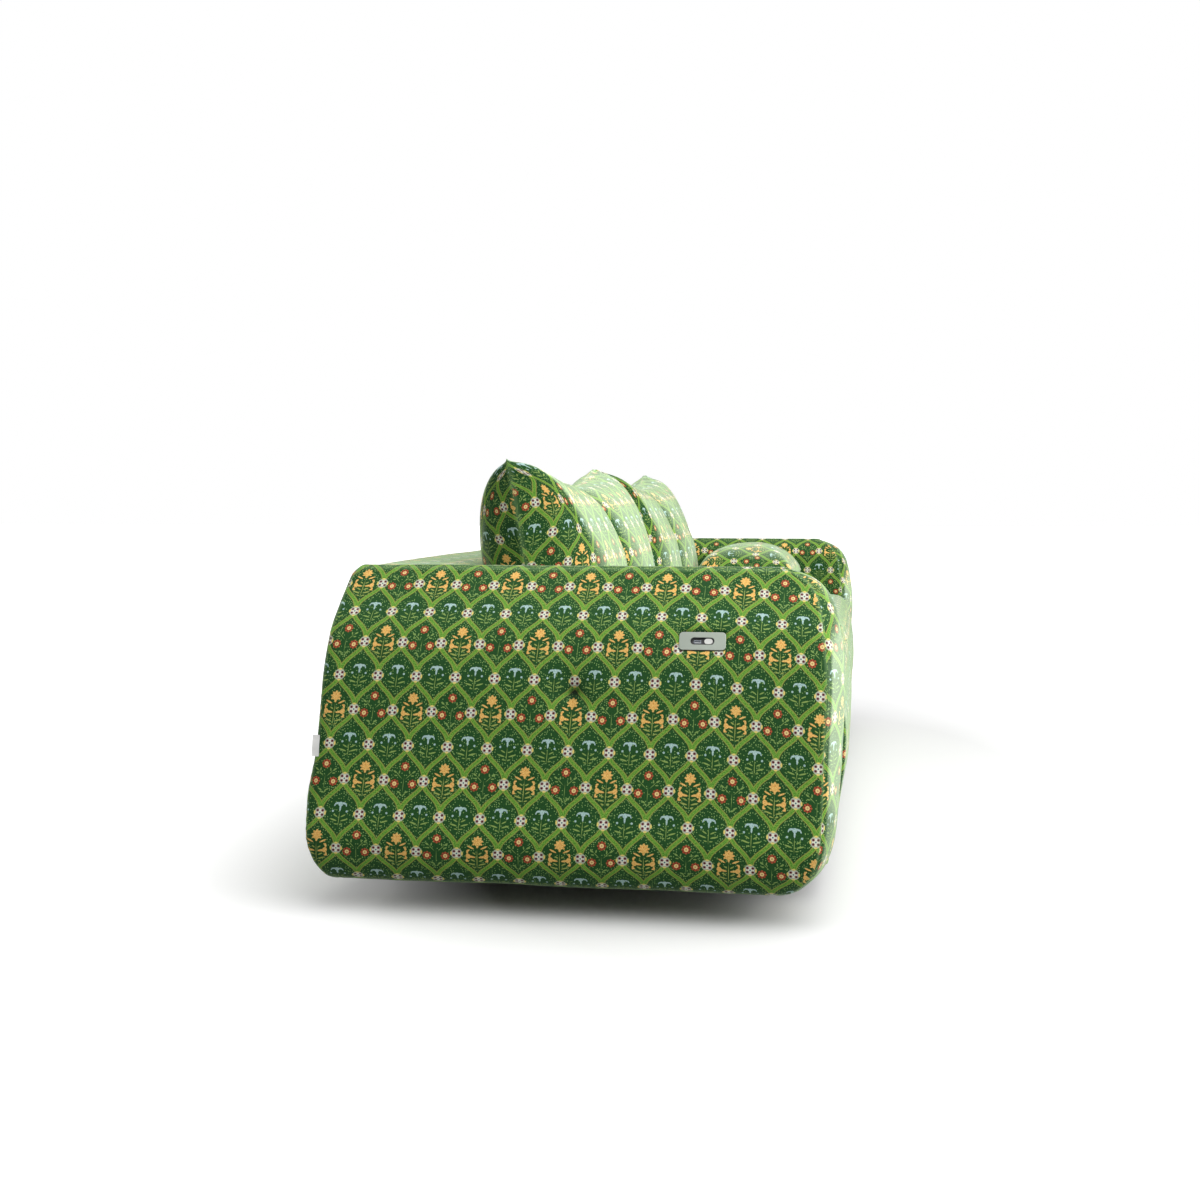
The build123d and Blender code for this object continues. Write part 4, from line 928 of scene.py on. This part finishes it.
# how a pillow and the small cushion crown: ring, depth, low edge, high edge and bend, each a share
PILLOW = np.array(
    [
        (0.00, 1.02, 0.25, 0.25, 0.00), (0.60, 1.00, 0.10, 0.40, -0.60), (0.72, 0.92, 0.00, 0.51, -0.45),
        (0.82, 0.80, -0.04, 0.66, -0.20), (0.89, 0.62, -0.05, 0.84, 0.10), (0.94, 0.37, -0.04, 0.936, 0.40),
        (0.97, 0.18, -0.02, 0.968, 0.75), (1.00, 0.00, 0.00, 1.000, 1.00),
    ]
)
DOME = np.array(
    [
        (0.00, 1.00, 0.50, 0.50, 0.00), (0.30, 0.94, 0.35, 0.65, -0.30), (0.50, 0.82, 0.24, 0.76, -0.30),
        (0.65, 0.67, 0.16, 0.83, -0.15), (0.80, 0.44, 0.08, 0.91, 0.05), (0.90, 0.25, 0.03, 0.96, 0.35),
        (0.96, 0.12, 0.00, 0.985, 0.70), (1.00, 0.00, 0.00, 1.000, 1.00),
    ]
)


def ring_lines(table, across, deep, spacing):
    """Ring shares from -1 to 1 at even steps over the crown."""
    dense = np.linspace(0, 1, 400)
    run = lengths(np.stack([dense * across, through(table[:, 0], table[:, 1], dense) * deep], 1))
    half = np.interp(np.linspace(0, run[-1], int(run[-1] / spacing) + 1), run, dense)
    return np.concatenate([-half[:0:-1], half])


def cushion_grids(table, width, height, sag, draw, front, rear, spacing):
    """The front and rear sheets of a cushion, which share their edge: X across, Y up the seam, Z to the front."""
    a, b = (ring_lines(table, size / 2, front, spacing) for size in (width, height))
    A, B = np.meshgrid(a, b)
    ring = np.maximum(np.maximum(np.abs(A), np.abs(B)), 1e-6)
    depth, low, high, bend = (through(table[:, 0], table[:, k], ring) for k in range(1, 5))
    p, q = A / ring, B / ring
    x = p * (width / 2 * ring - bend * draw * (1 - q * q))
    low = low * height + bend * draw / 2 * (1 - p * p)
    high = high * height - bend * sag * (1 - p * p)
    y = low + (high - low) * (q + 1) / 2
    sheets = []
    for deep in (front, -rear):
        sheet = np.stack([x, y, depth * deep], 2)
        for _ in range(10):
            core = sheet.copy()
            core[1:-1, 1:-1] = (sheet[:-2, 1:-1] + sheet[2:, 1:-1] + sheet[1:-1, :-2] + sheet[1:-1, 2:]) / 4
            sheet = sheet * 0.5 + core * 0.5
        sheets.append(sheet)
    # the corners are sewn a little round
    rows, cols = A.shape
    rim = [(0, c) for c in range(cols - 1)] + [(r, cols - 1) for r in range(rows - 1)]
    rim += [(rows - 1, c) for c in range(cols - 1, 0, -1)] + [(r, 0) for r in range(rows - 1, 0, -1)]
    at = tuple(np.array(rim).T)
    loop = sheets[0][at]
    for _ in range(4):
        loop = loop * 0.5 + (np.roll(loop, 1, 0) + np.roll(loop, -1, 0)) * 0.25
    for sheet in sheets:
        sheet[at] = loop
    return sheets


def puff(points, faces, pressure, cap):
    """Blows a closed cushion up a little with Blender's cloth, and gives its new points."""
    body = make_piece("puff", points, faces)
    cloth = body.modifiers.new("cloth", "CLOTH")
    facts = cloth.settings
    facts.quality = 5
    facts.mass = 0.4
    facts.tension_stiffness = facts.compression_stiffness = 18
    facts.shear_stiffness = 8
    facts.bending_stiffness = 0.6
    facts.use_pressure = True
    facts.uniform_pressure_force = pressure
    facts.effector_weights.gravity = 0
    scene = bpy.context.scene
    cloth.point_cache.frame_start = 1
    cloth.point_cache.frame_end = 20
    for at in range(1, 21):
        scene.frame_set(at)
    shape = body.evaluated_get(bpy.context.evaluated_depsgraph_get()).to_mesh()
    new = np.zeros(len(points) * 3)
    shape.vertices.foreach_get("co", new)
    bpy.data.objects.remove(body)
    scene.frame_set(1)
    move = new.reshape(-1, 3) - points
    size = np.linalg.norm(move, axis=1)[:, None]
    return points + move * np.minimum(1, cap / np.maximum(size, 1e-9))


def press(values, limit, radius):
    """Values kept above a limit, with a soft start."""
    t = np.clip((values - limit) / radius, -1, 1)
    return np.where(values > limit + radius, values, limit + radius * ((t + 1) / 2) ** 2)


def from_edge(count):
    """How many steps each place in a row is from its nearer end."""
    return np.minimum(np.arange(count), np.arange(count)[::-1])


def cushion(name, table, size, place, shape, seed, spacing=0.0105, cap=0.010, phase=(0.0, 0.0)):
    """A loose cushion: two sheets sewn at their edge, puffed, set in place and shaped."""
    front, rear = cushion_grids(table, *size, spacing)
    rows, cols = front.shape[:2]
    count = rows * cols
    index = np.arange(count).reshape(rows, cols)
    other = index.copy()
    other[1:-1, 1:-1] = np.arange((rows - 2) * (cols - 2)).reshape(rows - 2, cols - 2) + count
    points = np.concatenate([front.reshape(-1, 3), rear[1:-1, 1:-1].reshape(-1, 3)])
    cells = [((r, c), (r, c + 1), (r + 1, c + 1), (r + 1, c)) for r in range(rows - 1) for c in range(cols - 1)]
    faces = [tuple(int(index[i]) for i in cell) for cell in cells]
    faces += [tuple(int(other[i]) for i in reversed(cell)) for cell in cells]
    points = puff(points, faces, 4.0, cap)
    # lengths over each sheet give the print's place, with its rows level across the sheet
    uvs = []
    for grid, way in ((index, 1), (other, -1)):
        sheet = points[grid]
        u, v = grid_lengths(sheet, 1), grid_lengths(sheet, 0)
        u = u - u[:, cols // 2][:, None] + phase[0]
        middle = [np.interp(size[1] / 2, sheet[:, c, 1], v[:, c]) for c in range(cols)]
        v = v - np.array(middle)[None] + phase[1]
        uvs += [(way * u[i], v[i]) for cell in cells for i in cell[::way]]
    # gathers that run in from the seam
    rim = np.minimum.outer(from_edge(rows), from_edge(cols))
    border = np.exp(-((rim / 3.2) ** 2)) * (rim > 0)
    for grid, out in ((index, 1), (other, -1)):
        sheet = points[grid]
        x, y = sheet[..., 0], sheet[..., 1]
        gather = np.sin(x * 2 * math.pi / 0.041 + 2 * np.sin(x * 17 + seed))
        gather += np.sin(y * 2 * math.pi / 0.037 + 2 * np.sin(y * 19 + seed))
        lift = 0.0016 * gather * border + ripple(sheet, 0.11, 0.0040, seed) * (1 - border) * (rim > 0)
        moved = sheet + grid_normals(sheet, False) * out * lift[..., None]
        points[grid[1:-1, 1:-1]] = moved[1:-1, 1:-1]
    return make_piece(name, shape(place(points)), faces, uvs, seam=rim == 0)


PILLOW_TURN = math.radians(90 - 8.4)
PILLOW_LEAN = math.radians(28.7)  # of the creased front
CUSHION_REST = 0.4582  # height of the small cushion's flat


def stand(middle):
    """Sets a pillow upright on the seat, leaning back."""

    def place(points):
        x, y, z = points.T
        c, s = math.cos(PILLOW_TURN), math.sin(PILLOW_TURN)
        return np.stack([x + middle, 0.1154 + y * c - z * s, SEAT_TOP + y * s + z * c], 1)

    return place


def lean_and_crease(middle):
    """The upright crease, then the flats on the seat and against the bolster."""

    def shape(points):
        x, y, z = points.T.copy()
        off = np.abs(x - middle - 0.010 * np.sin((z - 0.45) * 9.0))
        height = np.clip((z - 0.45) / 0.38, 0, 1)
        line = 0.064 + (z - 0.678) * math.tan(PILLOW_LEAN)
        front = np.clip((line + 0.03 - y) / 0.05, 0, 1)
        depth = 0.034 * np.exp(-((off / 0.020) ** 1.3)) + 0.020 * np.exp(-((off / 0.080) ** 2))
        depth *= front * np.clip((1.0 - height) / 0.18, 0, 1) * np.clip(height / 0.10, 0.25, 1)
        y = y + depth * math.cos(PILLOW_LEAN)
        z = press(z - depth * math.sin(PILLOW_LEAN), SEAT_TOP, 0.012)
        return np.stack([x, -press(-y, -BOLSTER, 0.014), z], 1)

    return shape


def rest_flat(points):
    """The flat where the small cushion lies on the seat."""
    x, y, z = points.T.copy()
    return np.stack([x, y, press(z, CUSHION_REST, 0.014)], 1)


def lie(points):
    """Sets the small cushion flat on the right seat, beside the arm."""
    x, y, z = points.T
    return np.stack([x + 0.730, -0.172 - 0.1535 + y, 0.530 + z], 1)


left_width, right_width = 0.944, 0.890
left_middle = -INNER + 0.014 + left_width / 2
right_middle = -INNER + 0.014 + left_width + 0.008 + right_width / 2
for side, width, middle, seed, phase in (
    ("left", left_width, left_middle, 51, (0.012, 0.018)),
    ("right", right_width, right_middle, 67, (0.030, 0.0)),
):
    # width, height, sag of the top, draw of the sides, depth to the front and to the rear
    size = (width, 0.391, 0.042, 0.025, 0.137, 0.116)
    piece = cushion(f"pillow_{side}", PILLOW, size, stand(middle), lean_and_crease(middle), seed, phase=phase)
    put(piece, "sofa_base", "velvet", f"back_pillow_{side}", fill=0.7)
size = (0.460, 0.307, 0.010, 0.012, 0.088, 0.088)
piece = cushion("small_cushion", DOME, size, lie, rest_flat, 83, 0.009, 0.005, (0.01, 0.03))
put(piece, "seat_right", "velvet", "scatter_cushion", fill=0.75)

# Floor, light and camera

WHITE = (1.0, 1.0, 1.0, 1.0)


def floor_material():
    """Pale floor that keeps the sofa's shadow and meets the white background."""
    ink = Ink("pale_floor")
    at = ink.place()
    seen = ink.node("LightPath").outputs["Is Camera Ray"]
    pale = ink.mix(ink.noise(at, 0.6, 2.0), dimmed(WHITE, 0.80), dimmed(WHITE, 0.82))
    tone = ink.mix(seen, dimmed(WHITE, 0.38), pale)
    # the floor's own light rises with the distance from the sofa
    far = ink.vectors("LENGTH", ink.vectors("MULTIPLY_ADD", at, (0.5, 1.0, 1.0), (0.0, 0.30, 0.0)))
    own = ink.add(ink.ramp(far, 0.7, 1.5, 0.0, 0.6), ink.ramp(far, 1.5, 5.0, 0.0, 0.6))
    facts = {"Emission_Strength": ink.mul(seen, own), "Emission_Color": WHITE, "Specular_IOR_Level": 0.1}
    return ink.finish(tone, 0.9, **facts)


floor = make_piece("floor", [(-40, -40, 0), (40, -40, 0), (40, 40, 0), (-40, 40, 0)], [(0, 1, 2, 3)])
floor.data.materials.append(floor_material())

scene = bpy.context.scene
scene.view_settings.view_transform = "Standard"
scene.world = bpy.data.worlds.new("studio")
ink = Ink(scene.world)
ink.tree.nodes.clear()
path = ink.node("LightPath")
seen = ink.math("MAXIMUM", path.outputs["Is Camera Ray"], path.outputs["Is Glossy Ray"])
soft, white = (ink.node("Background", (WHITE, strength)).outputs[0] for strength in (0.24, 1.0))
ink.node("OutputWorld", (ink.node("MixShader", (seen, soft, white)).outputs[0],))


def lamp(name, place, target, size, power):
    """A large soft lamp aimed at a point."""
    light = bpy.data.lights.new(name, "AREA")
    light.shape = "RECTANGLE"
    light.size, light.size_y = size
    light.energy = power
    holder = bpy.data.objects.new(name, light)
    holder.location = place
    holder.rotation_euler = (Vector(target) - Vector(place)).to_track_quat("-Z", "Y").to_euler()
    scene.collection.objects.link(holder)


lamp("overhead", (-1.3, -1.7, 3.4), (-0.4, 0.0, 0.3), (6.0, 5.0), 242.0)
lamp("side", (-3.2, -4.0, 2.0), (-1.0, -0.4, 0.45), (2.0, 1.6), 38.0)
lamp("front", (-0.9, -4.4, 1.7), (0.3, 0.0, 0.5), (3.0, 2.0), 62.0)
lamp("rear", (0.5, 4.6, 2.3), (0.0, 0.4, 0.4), (3.0, 2.0), 62.0)

YAW = math.radians(8.37)  # turn of the view from the sofa's length
lens = bpy.data.cameras.new("camera")
lens.sensor_width = 36.0
lens.lens = 43.3
lens.shift_x, lens.shift_y = -0.040, -0.0817
camera = bpy.data.objects.new("camera", lens)
camera.location = (-3.692, -0.508, 0.745)
camera.rotation_euler = (math.pi / 2, 0.0, -math.pi / 2 + YAW)
scene.collection.objects.link(camera)
scene.camera = camera

bpy.context.view_layer.update()
